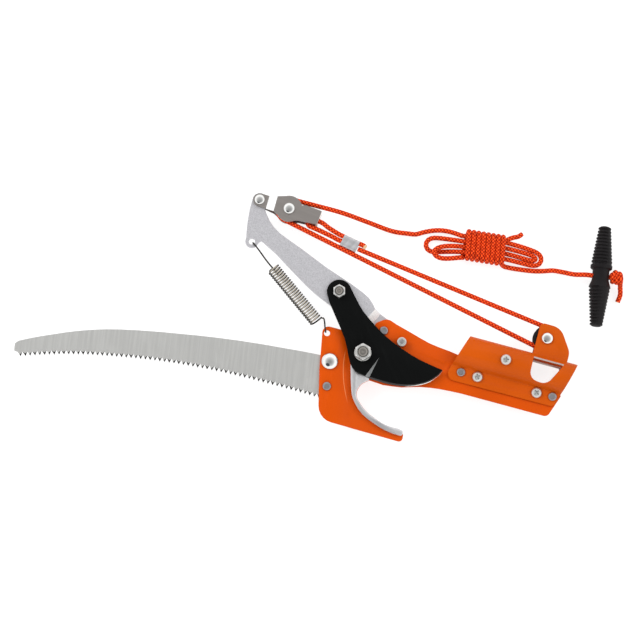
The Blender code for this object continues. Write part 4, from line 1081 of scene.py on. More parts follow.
@dataclass(frozen=True)
class Rivet:
    """A rivet's shank, and its head: a dome, or a flat disc with a ring."""

    shank: float
    head: float
    rise: float
    domed: bool = False
    disc: tuple[Point, ...] = (
        (1.0, 0.42), (0.93, 0.74), (0.82, 0.93), (0.7, 1.0), (0.62, 1.0), (0.56, 0.86), (0.2, 0.84), (0, 0.84),
    )

    def through(self, centre: Point, low: float, high: float) -> BMesh:
        """The rivet through a stack, with its made head on top and a formed one below.

        Args:
            centre: its axis, in plan.
            low: the stack's lower face.
            high: the stack's upper face.

        Returns:
            The rivet.
        """
        low, high, head, foot = low - CLEAR, high + CLEAR, self.head, self.rise * 0.7
        profile = [
            (0, low - foot), (0.45 * head, low - foot), (0.72 * head, low - 0.86 * foot),
            (0.86 * head, low - 0.45 * foot), (0.9 * head, low), (self.shank, low), (self.shank, high),
            (0.97 * head, high), (head, high + 0.08 * self.rise),
        ]
        if self.domed:
            rim = high + 0.3 * self.rise
            profile += [(head, rim), *dome_side(head, rim, 0.7 * self.rise, 0.8)]
        else:
            profile += [(head * r, high + self.rise * z) for r, z in self.disc]
        return turned(profile, centre, 48)


@dataclass(frozen=True)
class CrossScrew:
    """A pan head screw with a cross recess, whose mouth and bottom are given by length, width and height."""

    shank: float = 2.3
    head: float = 4.6
    rise: float = 2.5
    mouth: Place = (5.6, 1.15, 3.1)
    bottom: Place = (3.6, 0.72, 0.7)

    def driven(self, centre: Point, top: float, tip: float, turn: float) -> BMesh:
        """The screw in its place.

        Args:
            centre: its axis, in plan.
            top: the height of its seat.
            tip: the height of its tip.
            turn: the angle of the recess.

        Returns:
            The screw.
        """
        shank, head = self.shank, self.head
        profile = [(0, tip), (shank * 0.55, tip), (shank * 0.9, tip + 0.6)]
        profile += thread(shank, 0.3, tip + 1.0, top - 1.2, 0.6, 0.3)
        profile += [(shank, top - 0.4), (shank, top), (head * 0.96, top), (head, top + 0.15)]
        profile += dome_side(head, top + self.rise * 0.06, self.rise * 0.94, 0.55)
        arms = []
        for quarter in range(2):
            arm = bmesh.new()
            bmesh.ops.create_cube(arm, size=1.0)
            for vert in arm.verts:
                long, wide, high = self.bottom if vert.co.z < 0 else self.mouth
                vert.co = (vert.co.x * long, vert.co.y * wide, top + high)
            spin = Matrix.Translation((*centre, 0)) @ Matrix.Rotation(turn + math.pi / 2 * quarter, 4, "Z")
            bmesh.ops.transform(arm, matrix=spin, verts=arm.verts)
            arms.append(arm)
        return cut_with(turned(profile, centre, 48), arms)


DISC_RIVET = Rivet(2.0, 3.7, 1.3)
PIVOT_RIVET = Rivet(2.6, 3.7, 1.3)
SHEAVE_AXLE = Rivet(2.5, 4.9, 2.2, domed=True)
SWIVEL_RIVET = Rivet(2.5, 4.4, 1.8, domed=True)
SHELL_SCREW = CrossScrew()


def plait_height(run: float, around: float, starts: int, pitch: float) -> float:
    """How high a plaited cord's surface stands, 0 to 1.

    Args:
        run: how far along the cord, in millimetres.
        around: how far round it, 0 to 1.
        starts: how many strands go each way.
        pitch: how far along one strand's crossing takes.

    Returns:
        The height.
    """
    left, right = around * starts + run / pitch, around * starts - run / pitch
    crowns = math.sin(left % 1 * math.pi), math.sin(right % 1 * math.pi)
    over = (math.floor(left) + math.floor(right)) % 2
    crown, cross = crowns if over else crowns[::-1]
    return crown * (0.45 + 0.55 * cross)


def tube(
    path: Sequence[Vector],
    radius: float | Callable[[float, float], float],
    sides: int,
    step: float,
    start_run: float = 0.0,
    spread: Vector | None = None,
) -> BMesh:
    """A tube rolled from a grid along a line, with both ends filled and a map along and round it.

    Args:
        path: the line.
        radius: its radius, or what gives that from how far along and how far round it is.
        sides: how many faces it has round.
        step: the spacing of its rings.
        start_run: what its map starts from, in millimetres.
        spread: the way across it that its map starts from.

    Returns:
        The tube, whose end faces have the finish number 1.
    """
    line = along(path, step)
    frames = bend_free_frame(line, spread)
    rings = len(line)
    total = length_of(line)
    bm = bmesh.new()
    bm.loops.layers.uv.new("cord")
    bmesh.ops.create_grid(bm, x_segments=rings - 1, y_segments=sides, size=1.0, calc_uvs=True)
    bm.verts.ensure_lookup_table()
    for vert in bm.verts:
        k = round((vert.co.x + 1) / 2 * (rings - 1))
        share = round((vert.co.y + 1) / 2 * sides) / sides
        r = radius(start_run + total * k / (rings - 1), share % 1) if callable(radius) else radius
        here, spread, other = frames[k]
        angle = TURN * share
        vert.co = here + (spread * math.cos(angle) + other * math.sin(angle)) * r
    layer = bm.loops.layers.uv.active
    for face in bm.faces:
        for loop in face.loops:
            u, v = loop[layer].uv
            loop[layer].uv = ((start_run + u * total) / 10, v)
    bmesh.ops.remove_doubles(bm, verts=bm.verts, dist=1e-4)
    made = bmesh.ops.holes_fill(bm, edges=[e for e in bm.edges if e.is_boundary], sides=0)
    for face in made["faces"]:
        face.material_index = 1
    return bm


def bend_free_frame(line: Sequence[Vector], spread: Vector | None) -> list[tuple[Vector, Vector, Vector]]:
    """Frames along a line that don't twist round it.

    Args:
        line: the line.
        spread: the first direction across it, or any.

    Returns:
        At each point: the point and two directions across the line.
    """
    ways = []
    for k in range(len(line)):
        ways.append((line[min(k + 1, len(line) - 1)] - line[max(k - 1, 0)]).normalized())
    spread = spread or ways[0].orthogonal()
    out = []
    for here, way, before in zip(line, ways, [ways[0]] + ways):
        spread = before.rotation_difference(way) @ spread
        spread = (spread - way * spread.dot(way)).normalized()
        out.append((here, spread, way.cross(spread)))
    return out


# ---------------------------------------------------------------- sub-assemblies


@dataclass
class GroovedSheave:
    """A rope sheave: a rounded rim, a round groove, and a dished web with a hub."""

    axle: Point
    radius: float
    middle: float = 0.0
    thick: float = 7.4
    bore: float = 2.8
    groove: float = 7.5
    groove_r: float = 2.4

    def wheel(self) -> BMesh:
        """Turn the sheave.

        Returns:
            The wheel.
        """
        half, bore, rim, rope = self.thick / 2, self.bore, self.radius, self.groove_r
        side = [
            (bore, half - 0.3), (bore + 0.3, half), (bore + 1.6, half), (bore + 1.9, half - 0.3),
            (bore + 2.1, half - 0.9), (rim - 3.4, half - 0.9), (rim - 3.1, half - 0.3), (rim - 2.8, half),
            (rim - 0.3, half), (rim, half - 0.3), (rim, half - 0.55), (rim - 0.15, half - 0.8),
        ]
        for step in range(9):
            angle = math.pi / 2 * (1 - step / 8)
            side.append((self.groove + rope - rope * math.cos(angle), rope * math.sin(angle)))
        profile = side + [(r, -z) for r, z in side[-2::-1]] + side[:1]
        return turned([(r, z + self.middle) for r, z in profile], self.axle, 72)


@dataclass
class HeadPlate:
    """The orange pressed plate and the hooked anvil on it."""

    plate_edge: float = 0.4
    anvil_edge: float = 0.45

    def build(self) -> None:
        """Make both pieces."""
        piece("orange_head_plate", carried("main_plate", self.plate_edge), [PAINT], Body.FRAME, ["main_plate"])
        piece("steel_anvil_hook", carried("anvil_hook", self.anvil_edge), [ANVIL_STEEL], Body.FRAME, ["anvil_hook"])


@dataclass
class PruningSaw:
    """The curved saw blade and what holds it to the head plate."""

    bolt_at: Point = (-25.8, -14.0)
    rivet_at: Point = (-22.6, -35.8)
    low: float = -1.6
    high: float = -0.3
    flange_high: float = 2.4
    flank: tuple[float, float] = (3.2, 5.4)
    grind_w: float = 0.36
    grind_h: float = 0.9
    dome_r: float = 7.3
    dome_h: float = 3.0
    bolt_r: float = 3.0
    nut_flats: float = 10.0
    nut_h: float = 4.6
    nut_turn: float = 0.2

    def build(self) -> None:
        """Make the saw, its domed bolt with its nut, and its rivet."""
        bm = carried("saw_blade")
        self.grind(bm)
        # painted shade: the teeth's tilted faces get the dark copy of the steel
        number_faces(bm, 1, lambda face: 0.12 < face.normal.z < LEVEL)
        piece("curved_saw_blade", bm, [SAW_STEEL, TOOTH_BEVEL_SHADE], Body.FRAME, ["saw_blade"], crease=20)
        piece("domed_saw_bolt", self.dome(), [CHROME, THREAD_STEEL], Body.FRAME, ["saw_bolt"])
        nut = hex_nut(self.bolt_at, self.nut_flats, self.bolt_r + CLEAR, self.low - CLEAR, -self.nut_h, self.nut_turn)
        piece("saw_bolt_back_nut", nut, [ZINC], Body.FRAME, ["saw_bolt_nut"])
        bm = DISC_RIVET.through(self.rivet_at, self.low, self.flange_high)
        piece("saw_heel_rivet", bm, [RIVET_STEEL], Body.FRAME, ["saw_rivet"])

    def grind(self, bm: BMesh) -> None:
        """Grind the cutting flank on the front of the teeth whose tips are ground on the back.

        Args:
            bm: the saw.
        """
        flanks = []
        for edge in bm.edges:
            step = edge.verts[1].co - edge.verts[0].co
            high = min(v.co.z for v in edge.verts) > self.high - 0.05
            leaning = step.x * step.y > 0 and abs(step.y) > abs(step.x)
            if high and leaning and self.flank[0] < step.length < self.flank[1]:
                flanks.append(edge)
        for edge in flanks:
            tip, root = sorted(edge.verts, key=lambda vert: vert.co.y)
            top = max(edge.link_faces, key=lambda face: abs(face.normal.z))
            other = next(e for e in tip.link_edges if e is not edge and e in top.edges)
            _, shoulder = bmesh.utils.edge_split(other, tip, self.grind_w)
            bmesh.utils.face_split(top, root, shoulder)
            tip.co.z -= self.grind_h
        bm.normal_update()

    def dome(self) -> BMesh:
        """The domed bolt, with a low skirt under its dome and a threaded end below.

        Returns:
            The bolt.
        """
        radius, rim = self.bolt_r, self.dome_r
        top, end = self.flange_high + CLEAR, self.low - CLEAR - self.nut_h - 1.0
        profile = [(0, end), (radius - 0.7, end), (radius - 0.1, end + 0.5)]
        profile += thread(radius, 0.3, end + 0.6, self.low - CLEAR, 0.5, 0.25)
        profile += [(radius, self.low), (radius, top), (rim * 0.98, top), (rim, top + 0.35)]
        profile += dome_side(rim, top + 0.35, self.dome_h + 0.05, steps=24)
        bm = turned(profile, self.bolt_at, 72)
        number_faces(bm, 1, lambda face: face.calc_center_median().z < self.low)
        return bm


@dataclass
class Cutter:
    """The swinging black blade, its pivot and its link to the lever, and the stop behind it."""

    pivot: Point = (0.0, 0.0)
    link: Point = (-33.9, 46.7)
    stop: Point = (30.2, 18.4)
    blade_high: float = 7.6
    blade_low: float = 4.7
    plate_low: float = -1.2
    plate_high: float = 1.2
    lever_low: float = 1.5
    pivot_r: float = 4.0
    pivot_flats: float = 13.0
    pivot_nut_h: float = 5.6
    washer_r: float = 7.4
    washer_t: float = 1.0
    link_r: float = 3.0
    link_flats: float = 10.0
    link_nut_h: float = 4.6
    collar_r: float = 4.0
    nut_turn: float = math.radians(45.3)
    pivot_head_h: float = 5.2
    link_head_h: float = 4.0
    shank_past_nut: float = 1.2
    groove_deep: float = 0.8
    edge: float = 0.25

    def build(self) -> None:
        """Make the blade and its fixings."""
        bm = carried("cutting_blade", self.edge, corner=60.0)
        number_faces(bm, 1, self.on_grind)
        groove = self.blade_high - self.groove_deep
        number_faces(bm, 2, lambda face: abs(face.calc_center_median().z - groove) < 0.1)
        piece("black_cutting_blade", bm, [BLADE_BLACK, BLADE_EDGE_GRIND, GROOVE_STEEL], Body.BLADE,
              ["cutting_blade"])
        seat = self.blade_high + CLEAR
        bolt = threaded_bolt(self.pivot, self.pivot_flats, self.pivot_r, self.plate_low - CLEAR, self.pivot_head_h,
                             seat + self.washer_t + self.pivot_nut_h + self.shank_past_nut, turn=0.1)
        piece("pivot_hex_bolt", bolt, [THREAD_STEEL], Body.FRAME, ["pivot_bolt"])
        piece("pivot_flat_washer", self.washer(seat), [ZINC], Body.FRAME, ["pivot_washer"])
        nut = hex_nut(self.pivot, self.pivot_flats, self.pivot_r + CLEAR, seat + self.washer_t + CLEAR,
                      self.pivot_nut_h, self.nut_turn)
        piece("pivot_hex_nut", nut, [ZINC], Body.FRAME, ["pivot_nut"])
        bolt = threaded_bolt(self.link, self.link_flats, self.link_r, self.lever_low - CLEAR, self.link_head_h,
                             seat + self.link_nut_h + self.shank_past_nut, turn=0.3)
        piece("link_hex_bolt", bolt, [THREAD_STEEL], Body.BLADE, ["link_bolt"])
        nut = hex_nut(self.link, self.link_flats, self.link_r + CLEAR, seat, self.link_nut_h, self.nut_turn)
        piece("link_hex_nut", nut, [ZINC], Body.BLADE, ["link_nut"])
        piece("blade_stop_pin", self.stop_pin(), [ZINC, RIVET_STEEL], Body.FRAME, ["stop_pin"])

    def on_grind(self, face: BMFace) -> bool:
        """Whether a face of the blade is its ground bevel.

        Args:
            face: the face.

        Returns:
            Whether it is.
        """
        middle = face.calc_center_median()
        tilted = 0.3 < face.normal.z < LEVEL and face.normal.y < 0.3
        return tilted and self.blade_low + 0.5 < middle.z < self.blade_high - 0.5 and middle.x > 10

    def washer(self, seat: float) -> BMesh:
        """The flat washer under the pivot's nut.

        Args:
            seat: the height that it lies at.

        Returns:
            The washer.
        """
        bore, top = self.pivot_r + CLEAR, seat + self.washer_t
        profile = [(bore, seat), (self.washer_r - 0.15, seat), (self.washer_r, seat + 0.15)]
        profile += [(self.washer_r, top - 0.25), (self.washer_r - 0.25, top), (bore, top), (bore, seat)]
        return turned(profile, self.pivot, 64)

    def stop_pin(self) -> BMesh:
        """The pin that the open blade's back rests on: a bright collar round a riveted end.

        Returns:
            The pin.
        """
        low, high, top = self.plate_low - CLEAR, self.plate_high + CLEAR, self.blade_high
        profile = [(0, low - 0.9), (1.8, low - 0.9), (2.9, low - 0.6), (3.3, low), (2.0, low), (2.0, high)]
        profile += [(self.collar_r - 0.1, high), (self.collar_r, high + 0.15), (self.collar_r, top - 0.5)]
        profile += [(self.collar_r - 0.15, top - 0.15), (self.collar_r - 0.5, top), (2.7, top), (2.35, top - 0.3)]
        profile += [(2.05, top - 0.1), (1.9, top + 0.35), (1.3, top + 0.6), (0, top + 0.6)]
        bm = turned(profile, self.stop, 48)
        axis = Vector(self.stop)
        for face in bm.faces:
            middle = face.calc_center_median()
            face.material_index = int(middle.z > top - 0.2 and (middle.xy - axis).length < 2.2)
        return bm


@dataclass
class RopeLever:
    """The long lever that the pulley block pulls, and the rivet that it turns on."""

    pivot: Point = (12.5, 24.6)
    stack: tuple[float, float] = (-4.4, 1.2)
    edge: float = 0.35
    step_area: float = 8.0

    def build(self) -> None:
        """Make the lever and its rivet."""
        bm = carried("lever_arm", self.edge, corner=50.0)
        # painted highlight: the tilted step faces get a light copy of the lever steel
        number_faces(bm, 1, lambda face: 0.15 < face.normal.z < LEVEL and face.calc_area() > self.step_area)
        piece("blasted_rope_lever", bm, [LEVER_STEEL, LEVER_STEP_LIT], Body.LEVER, ["lever_arm"], crease=12)
        bm = PIVOT_RIVET.through(self.pivot, *self.stack)
        piece("lever_pivot_rivet", bm, [RIVET_STEEL], Body.FRAME, ["lever_rivet"])


@dataclass
class PoleSocket:
    """The two pressed half shells that clamp the pole, with the rear sheave between their ears."""

    window_top: float = 34.4
    rivets_at: tuple[Point, Point] = ((86.6, 6.7), (168.3, 6.9))
    screws_at: tuple[Point, Point] = ((101.4, 6.5), (154.2, 6.5))
    screw_turns: tuple[float, float, float] = (0.5, 0.9, 0.2)
    screw_past: float = 4.6
    nut_flats: float = 8.0
    nut_h: float = 3.6
    nut_turn: float = 0.4
    pole_screw_at: Point = (120.8, 25.6)
    axle_at: Point = (151.5, 54.8)
    shell_high: float = 2.9
    shell_out_r: float = 14.4
    screw_tip: float = 9.2
    ear: float = 5.7
    sheave_r: float = 12.0
    edge: float = 0.3

    def build(self) -> None:
        """Make the shells, their fixings, and the rear sheave on its axle."""
        for side in ("front", "rear"):
            shell = carried(f"{side}_shell", self.edge, corner=50.0)
            piece(f"{side}_half_shell", shell, [SHELL_PAINT], Body.FRAME, [f"{side}_shell"], crease=30)
        high, low = self.shell_high + CLEAR, -self.shell_high - CLEAR
        for side, at in zip(("left", "right"), self.rivets_at):
            bm = DISC_RIVET.through(at, -self.shell_high, self.shell_high)
            piece(f"shell_{side}_rivet", bm, [RIVET_STEEL], Body.FRAME, [f"shell_rivet_{side}"])
        for side, at, turn in zip(("left", "right"), self.screws_at, self.screw_turns):
            bm = SHELL_SCREW.driven(at, high, low - self.screw_past, turn)
            piece(f"shell_{side}_screw", bm, [ZINC], Body.FRAME, [f"shell_screw_{side}"])
            nut = hex_nut(at, self.nut_flats, SHELL_SCREW.shank + CLEAR, low, -self.nut_h, self.nut_turn)
            piece(f"shell_{side}_nut", nut, [ZINC], Body.FRAME, [f"shell_nut_{side}"])
        bm = SHELL_SCREW.driven(self.pole_screw_at, self.shell_out_r + CLEAR, self.screw_tip, self.screw_turns[2])
        piece("pole_clamp_screw", bm, [ZINC], Body.FRAME, ["pole_screw"])
        wheel = GroovedSheave(self.axle_at, self.sheave_r).wheel()
        piece("rear_rope_sheave", wheel, [NYLON], Body.REAR_SHEAVE, ["rear_sheave"])
        bm = SHEAVE_AXLE.through(self.axle_at, -self.ear, self.ear)
        piece("rear_sheave_axle", bm, [CHROME], Body.FRAME, ["rear_axle"])


@dataclass
class PulleyBlock:
    """The folded strap on the lever's end, with the front sheave in it."""

    lever_end: Point = (-123.3, 108.3)
    axle_at: Point = (-95.9, 106.8)
    middle: float = 2.95
    strap_gap: float = 8.0
    strap_t: float = 1.5
    clasp: float = 3.25
    sheave_r: float = 11.0
    fold_from: float = -68.62
    fold_r: float = 3.0
    fold_w: float = 8.0
    step_area: float = 4.0
    edge: float = 0.3

    def build(self) -> None:
        """Make the strap, the sheave and their two rivets."""
        bm = carried("pulley_strap")
        corners = [edge for edge in bm.edges if self.at_fold(edge)]
        bmesh.ops.bevel(bm, geom=corners, offset=self.fold_r, segments=5, profile=0.5, affect="EDGES")
        bm.normal_update()
        break_edges(bm, self.edge, corner=50.0)
        bend = self.fold_from - self.fold_r
        # painted highlight: the fold's faces that face along +X get the light copy of the strap steel
        number_faces(bm, 1, lambda face: face.normal.x > 0.3 and face.calc_center_median().x > bend)
        # painted highlight: the step down to the lever's end gets the light copy of the lever steel
        number_faces(bm, 2, self.on_step)
        finishes = [STRAP_STEEL, STRAP_FOLD_LIT, LEVER_STEP_LIT]
        piece("folded_pulley_strap", bm, finishes, Body.SHACKLE, ["pulley_strap"], crease=12)
        wheel = GroovedSheave(self.axle_at, self.sheave_r, self.middle).wheel()
        piece("front_rope_sheave", wheel, [NYLON], Body.FRONT_SHEAVE, ["front_sheave"])
        cheek = self.strap_gap / 2 + self.strap_t
        bm = SHEAVE_AXLE.through(self.axle_at, self.middle - cheek, self.middle + cheek)
        piece("front_sheave_axle", bm, [CHROME], Body.SHACKLE, ["front_axle"])
        bm = SWIVEL_RIVET.through(self.lever_end, self.middle - self.clasp, self.middle + self.clasp)
        piece("strap_swivel_rivet", bm, [CHROME], Body.SHACKLE, ["strap_rivet"])

    def on_step(self, face: BMFace) -> bool:
        """Whether a face of the strap is on the step down to the lever's end."""
        return face.normal.x < -0.1 and face.normal.z > 0.3 and face.calc_area() > self.step_area

    def at_fold(self, edge: BMEdge) -> bool:
        """Whether an edge of the strap is an outer corner of its fold.

        Args:
            edge: the edge.

        Returns:
            Whether it is.
        """
        start, end = (vert.co for vert in edge.verts)
        outer = min(start.x, end.x) > self.fold_from and abs(start.z - self.middle) > self.strap_gap / 2
        return outer and abs(end.y - start.y) > self.fold_w and abs(end.z - start.z) < 0.1


@dataclass
class ReturnSpring:
    """The long coil spring that opens the blade, with the leg that hooks into the lever."""

    wire_r: float = 0.68
    coil_r: float = 5.5
    turns: int = 25
    points: int = 22
    foot: Point = (-46.4, 16.9)
    head: Point = (-95.0, 51.8)
    middle: float = 2.95
    plate_hole: Point = (-34.7, 9.4)
    lug_hole: Point = (-120.0, 70.5)
    hole_r: float = 2.7
    lug_r: float = 5.9
    plate_high: float = 1.2
    lug_high: float = 4.4
    coil_sides: int = 10
    coil_step: float = 1.3
    leg_sides: int = 12
    leg_step: float = 1.2

    def build(self) -> None:
        """Make the coil between its two ends, left unattached, and the leg."""
        wire = [SPRING_STEEL] * 2
        bm = tube(self.coil_path(), self.wire_r, self.coil_sides, self.coil_step)
        coil = piece("return_spring_coil", bm, wire, None, ["return_spring"], crease=60)
        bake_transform(coil)
        bm = tube(self.leg_path(), self.wire_r, self.leg_sides, self.leg_step)
        piece("return_spring_leg", bm, wire, Body.SPRING_LEG, ["spring_eye"], crease=60)

    def ends(self) -> tuple[Vector, Vector, Vector, Vector]:
        """The coil's foot and head, the way between them and the way across.

        Returns:
            The four vectors.
        """
        foot, head = (Vector((*end, self.middle)) for end in (self.foot, self.head))
        axis = (head - foot).normalized()
        return foot, head, axis, Vector((-axis.y, axis.x, 0))

    def coil_path(self) -> list[Vector]:
        """The wire from its hook in the plate, through every turn, to the end of its straight tail.

        Returns:
            The line.
        """
        foot, head, axis, side = self.ends()
        count = self.turns * self.points
        turns = []
        for k in range(count + 1):
            angle = math.pi + TURN * k / self.points
            spoke = side * math.cos(angle) + UP * math.sin(angle)
            turns.append(foot + (head - foot) * k / count + spoke * self.coil_r)
        hole = Vector((*self.plate_hole, 0))
        reach = self.hole_r - self.wire_r - CLEAR
        inside = hole + (foot - hole).to_2d().normalized().to_3d() * reach
        hook = [
            inside - UP * (self.wire_r * 2),
            inside + UP * self.plate_high,
            inside + UP * (2 * self.plate_high + self.wire_r + CLEAR),
            inside + axis * 3.0 - side * 1.6 + UP * 5.4,
            inside + axis * 6.4 - side * 4.0 + UP * 4.6,
            foot - axis * 2.6 - side * (self.coil_r + 0.7) + UP * (self.middle + 0.4),
            foot - axis * 0.9 - side * (self.coil_r + 0.2) - UP * 0.6,
        ]
        tail = [turns[-1]]
        for step, (reach, rise) in enumerate(((0.94, 0.5), (0.7, 0.7), (0.35, 0.4)), 1):
            angle = math.pi + math.pi / 2 * step
            spoke = side * math.cos(angle) + UP * math.sin(angle)
            tail.append(head + axis * rise + spoke * self.coil_r * reach)
        tail.append(head - axis * 1.5)
        return smooth(hook + [turns[0]], 6)[:-1] + turns[:-1] + smooth(tail, 8)

    def leg_path(self) -> list[Vector]:
        """The straight leg and the hook through the lever's lug.

        Returns:
            The line.
        """
        _, head, axis, _ = self.ends()
        hole = Vector((*self.lug_hole, 0))
        inside = hole - axis * (self.hole_r - self.wire_r - CLEAR)
        over = self.lug_high + self.wire_r + CLEAR
        edge = hole - axis * (self.lug_r + 2.0)
        return smooth(
            [
                head - axis * 7.0,
                head + axis * 2.0,
                head + axis * 10.0,
                edge - axis * 3.0 + UP * (self.middle + 0.6),
                edge + axis * 2.0 + UP * over,
                inside - axis * 0.4 + UP * over,
                inside + UP * self.middle,
                inside - axis * 0.2 + UP * 0.3,
            ],
            6,
        )


class Laying:
    """Lays one rope in stretches, so that its plait runs on from each stretch to the next."""

    STEP = 0.6
    SIDES = 24

    def __init__(self, radius: float, starts: int, pitch: float) -> None:
        """Start at the rope's own end.

        Args:
            radius: the rope's radius.
            starts: how many strands go each way round it.
            pitch: how far along it one crossing takes.
        """
        self.radius, self.starts, self.pitch = radius, starts, pitch
        self.run = 0.0
        self.spread: Vector | None = None

    def swell(self, run: float, around: float) -> float:
        """The rope's radius where its strands cross, from how far along it and how far round it, 0 to 1, that is."""
        return self.radius * (0.97 + 0.085 * plait_height(run, around, self.starts, self.pitch))

    def stretch(self, path: Sequence[Vector]) -> BMesh:
        """Lay the next stretch.

        Args:
            path: its line, from where the last one ended.

        Returns:
            Its tube.
        """
        bm = tube(path, self.swell, self.SIDES, self.STEP, self.run, self.spread)
        self.spread = bend_free_frame(along(path, self.STEP), self.spread)[-1][1]
        self.run += length_of(path)
        return bm


@dataclass
class PullRope:
    """The braided rope: its spliced eye, its falls between the sheaves, the hank, and the knot behind the handle."""

    radius: float = 2.1
    run_r: float = 9.9
    middle: float = 2.95
    floor: float = -14.4
    front: Point = (-95.9, 106.8)
    rear: Point = (151.5, 54.8)
    sleeve_at: Point = (-36.0, 92.6)
    sleeve_way: Point = (15.9, -2.9)
    sleeve_l: float = 16.1
    crimp_l: float = 14.9
    crimp_w: float = 10.8
    crimp_off: float = -1.1
    crimps: tuple[float, float] = (-0.45, 0.42)
    sleeve_t: float = 5.8
    eye_route: tuple[Point, ...] = (
        (-58.5, 100.6), (-64.5, 103.2), (-71.0, 103.7), (-76.5, 101.4),
        (-75.6, 97.9), (-69.5, 96.7), (-60.0, 95.0), (-52.0, 93.4),
    )
    stub_end: Point = (-22.5, 91.7)
    stub_rise: float = 2.2
    slack_route: tuple[Place, ...] = (
        (-72.0, 116.8, 17.3), (-50.0, 116.8, 16.6), (-26.0, 116.0, 10.4), (-4.0, 115.2, 4.6), (11.0, 117.4, 2.4),
    )
    slack_joint: float = 38.0
    free_step: float = 3.0
    closing: float = 116.9
    fall_lean: float = math.radians(0.5)
    hank_at: Point = (78.8, 121.8)
    hank_angle: float = math.radians(5.8)
    wraps: int = 8
    wrap_pitch: float = 4.38
    wrap_gap: float = 0.7
    loops: tuple[tuple[int, float, float, float], ...] = (
        (1, 53.6, 6.7, -2.0), (-1, 52.6, 7.0, -4.2), (1, 48.6, 2.6, -2.0),
    )
    ease_rounds: int = 24
    loop_points: int = 10
    bend_points: int = 6
    entry: tuple[Place, ...] = ((-56.0, 5.4, 2.2), (-46.0, 9.4, 2.3), (-36.0, 10.6, 2.6), (-26.0, 9.4, 4.4))
    cross_over: tuple[Place, ...] = (
        (-25.0, -3.2, 8.6), (-33.0, -4.8, 10.2), (-42.0, -7.6, 10.4), (-45.4, -12.6, 10.0),
        (-39.0, -17.2, 9.8), (-29.0, -15.6, 9.8), (-20.5, -13.2, 9.4),
    )
    way_out: tuple[Place, ...] = (
        (19.8, -13.2, 4.0), (26.0, -13.8, 2.5), (36.0, -13.3, 2.2), (47.5, -13.0, 2.2), (57.0, -11.0, 2.2),
    )
    loose_end: tuple[Place, ...] = (
        (13.0, 4.9, 8.2), (17.0, 7.2, 8.8), (20.6, 10.8, 8.4), (24.5, 13.1, 7.6), (28.5, 14.8, 6.8), (31.5, 17.8, 5.6),
    )
    lead_route: tuple[Place, ...] = ((146.0, 119.2, 2.2), (153.0, 119.5, 3.4), (162.0, 119.3, 7.0))
    tail_route: tuple[Place, ...] = ((203.4, 120.0, 6.2), (205.6, 113.0, 3.6), (205.0, 106.0, 2.4))
    knot_reach: float = 14.4
    knot_half: float = 5.5
    knot_turns: float = 2.1
    knot_last: float = math.radians(204)
    knot_points: int = 24

    def build(self, handle: "PullHandle") -> None:
        """Lay the rope from its sleeve to its knot.

        Args:
            handle: the handle that the rope goes through.
        """
        rope = Laying(self.radius, CORD.starts, CORD.pitch)
        upper, rear_bight, lower, front_bight = self.falls()
        fall = self.dressed("rope_fall_upper", rope.stretch(upper), Body.SHACKLE, "rope_upper_fall")
        self.draw_in(fall)
        self.dressed("rope_bight_rear", rope.stretch(rear_bight), Body.FRAME, "rope_rear_bight")
        fall = self.dressed("rope_fall_lower", rope.stretch(lower), Body.SHACKLE, "rope_lower_fall")
        self.draw_in(fall)
        self.dressed("rope_bight_front", rope.stretch(front_bight), Body.SHACKLE, "rope_front_bight")
        hank = self.hank()
        self.lay_slack(rope, self.slack(hank))
        bound = self.dressed("rope_hank_bound", rope.stretch(hank), Body.FRAME, "rope_hank")
        loose = smooth(self.by_hank(self.loose_end), 6)
        end = self.dressed("rope_hank_loose_end", self.beside(loose), Body.FRAME, "rope_loose_end")
        self.declare(hank)
        lead = self.lead(hank, handle)
        led = self.dressed("rope_lead_in", rope.stretch(lead), Body.FRAME, "rope_lead")
        knot = self.dressed("rope_stopper_knot", rope.stretch(self.knot(handle)), Body.FRAME, "rope_knot")
        self.declare(lead)
        self.dressed("rope_spliced_eye", self.beside(self.eye()), Body.SHACKLE, "rope_eye")
        self.dressed("rope_cut_stub", self.beside(self.stub()), Body.SHACKLE, "rope_stub")
        piece("crimped_rope_sleeve", self.sleeve(), [ALLOY], Body.SHACKLE, ["rope_ferrule"], crease=40)

    def dressed(self, name: str, bm: BMesh, body: Body | None, *stands_for: str) -> bpy.types.Object:
        """A stretch of the rope as a piece, with the cord's two finishes."""
        return piece(name, bm, [CORD, CORD_END], body, stands_for, crease=80)

    def draw_in(self, fall: bpy.types.Object) -> None:
        """Give a fall a mesh of its own.

        Args:
            fall: the fall.
        """
        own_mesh(fall)

    def declare(
        self,
        line: Sequence[Vector],
    ) -> None:
        """Work out a stretch's line in the frame at an even spacing; nothing is done with it.

        Args:
            line: the line that it follows.
        """
        path = [tuple(TO_FRAME @ p) for p in along(line, 2.0)]

    def beside(self, line: Sequence[Vector]) -> BMesh:
        """A stretch that starts a plait of its own."""
        return Laying(self.radius, CORD.starts, CORD.pitch).stretch(line)

    def sleeve_axes(self) -> tuple[Vector, Vector, Vector]:
        """The crimped sleeve's middle, the way along it and the way across it."""
        way = Vector(self.sleeve_way).normalized()
        return Vector(self.sleeve_at), way, Vector((-way.y, way.x))

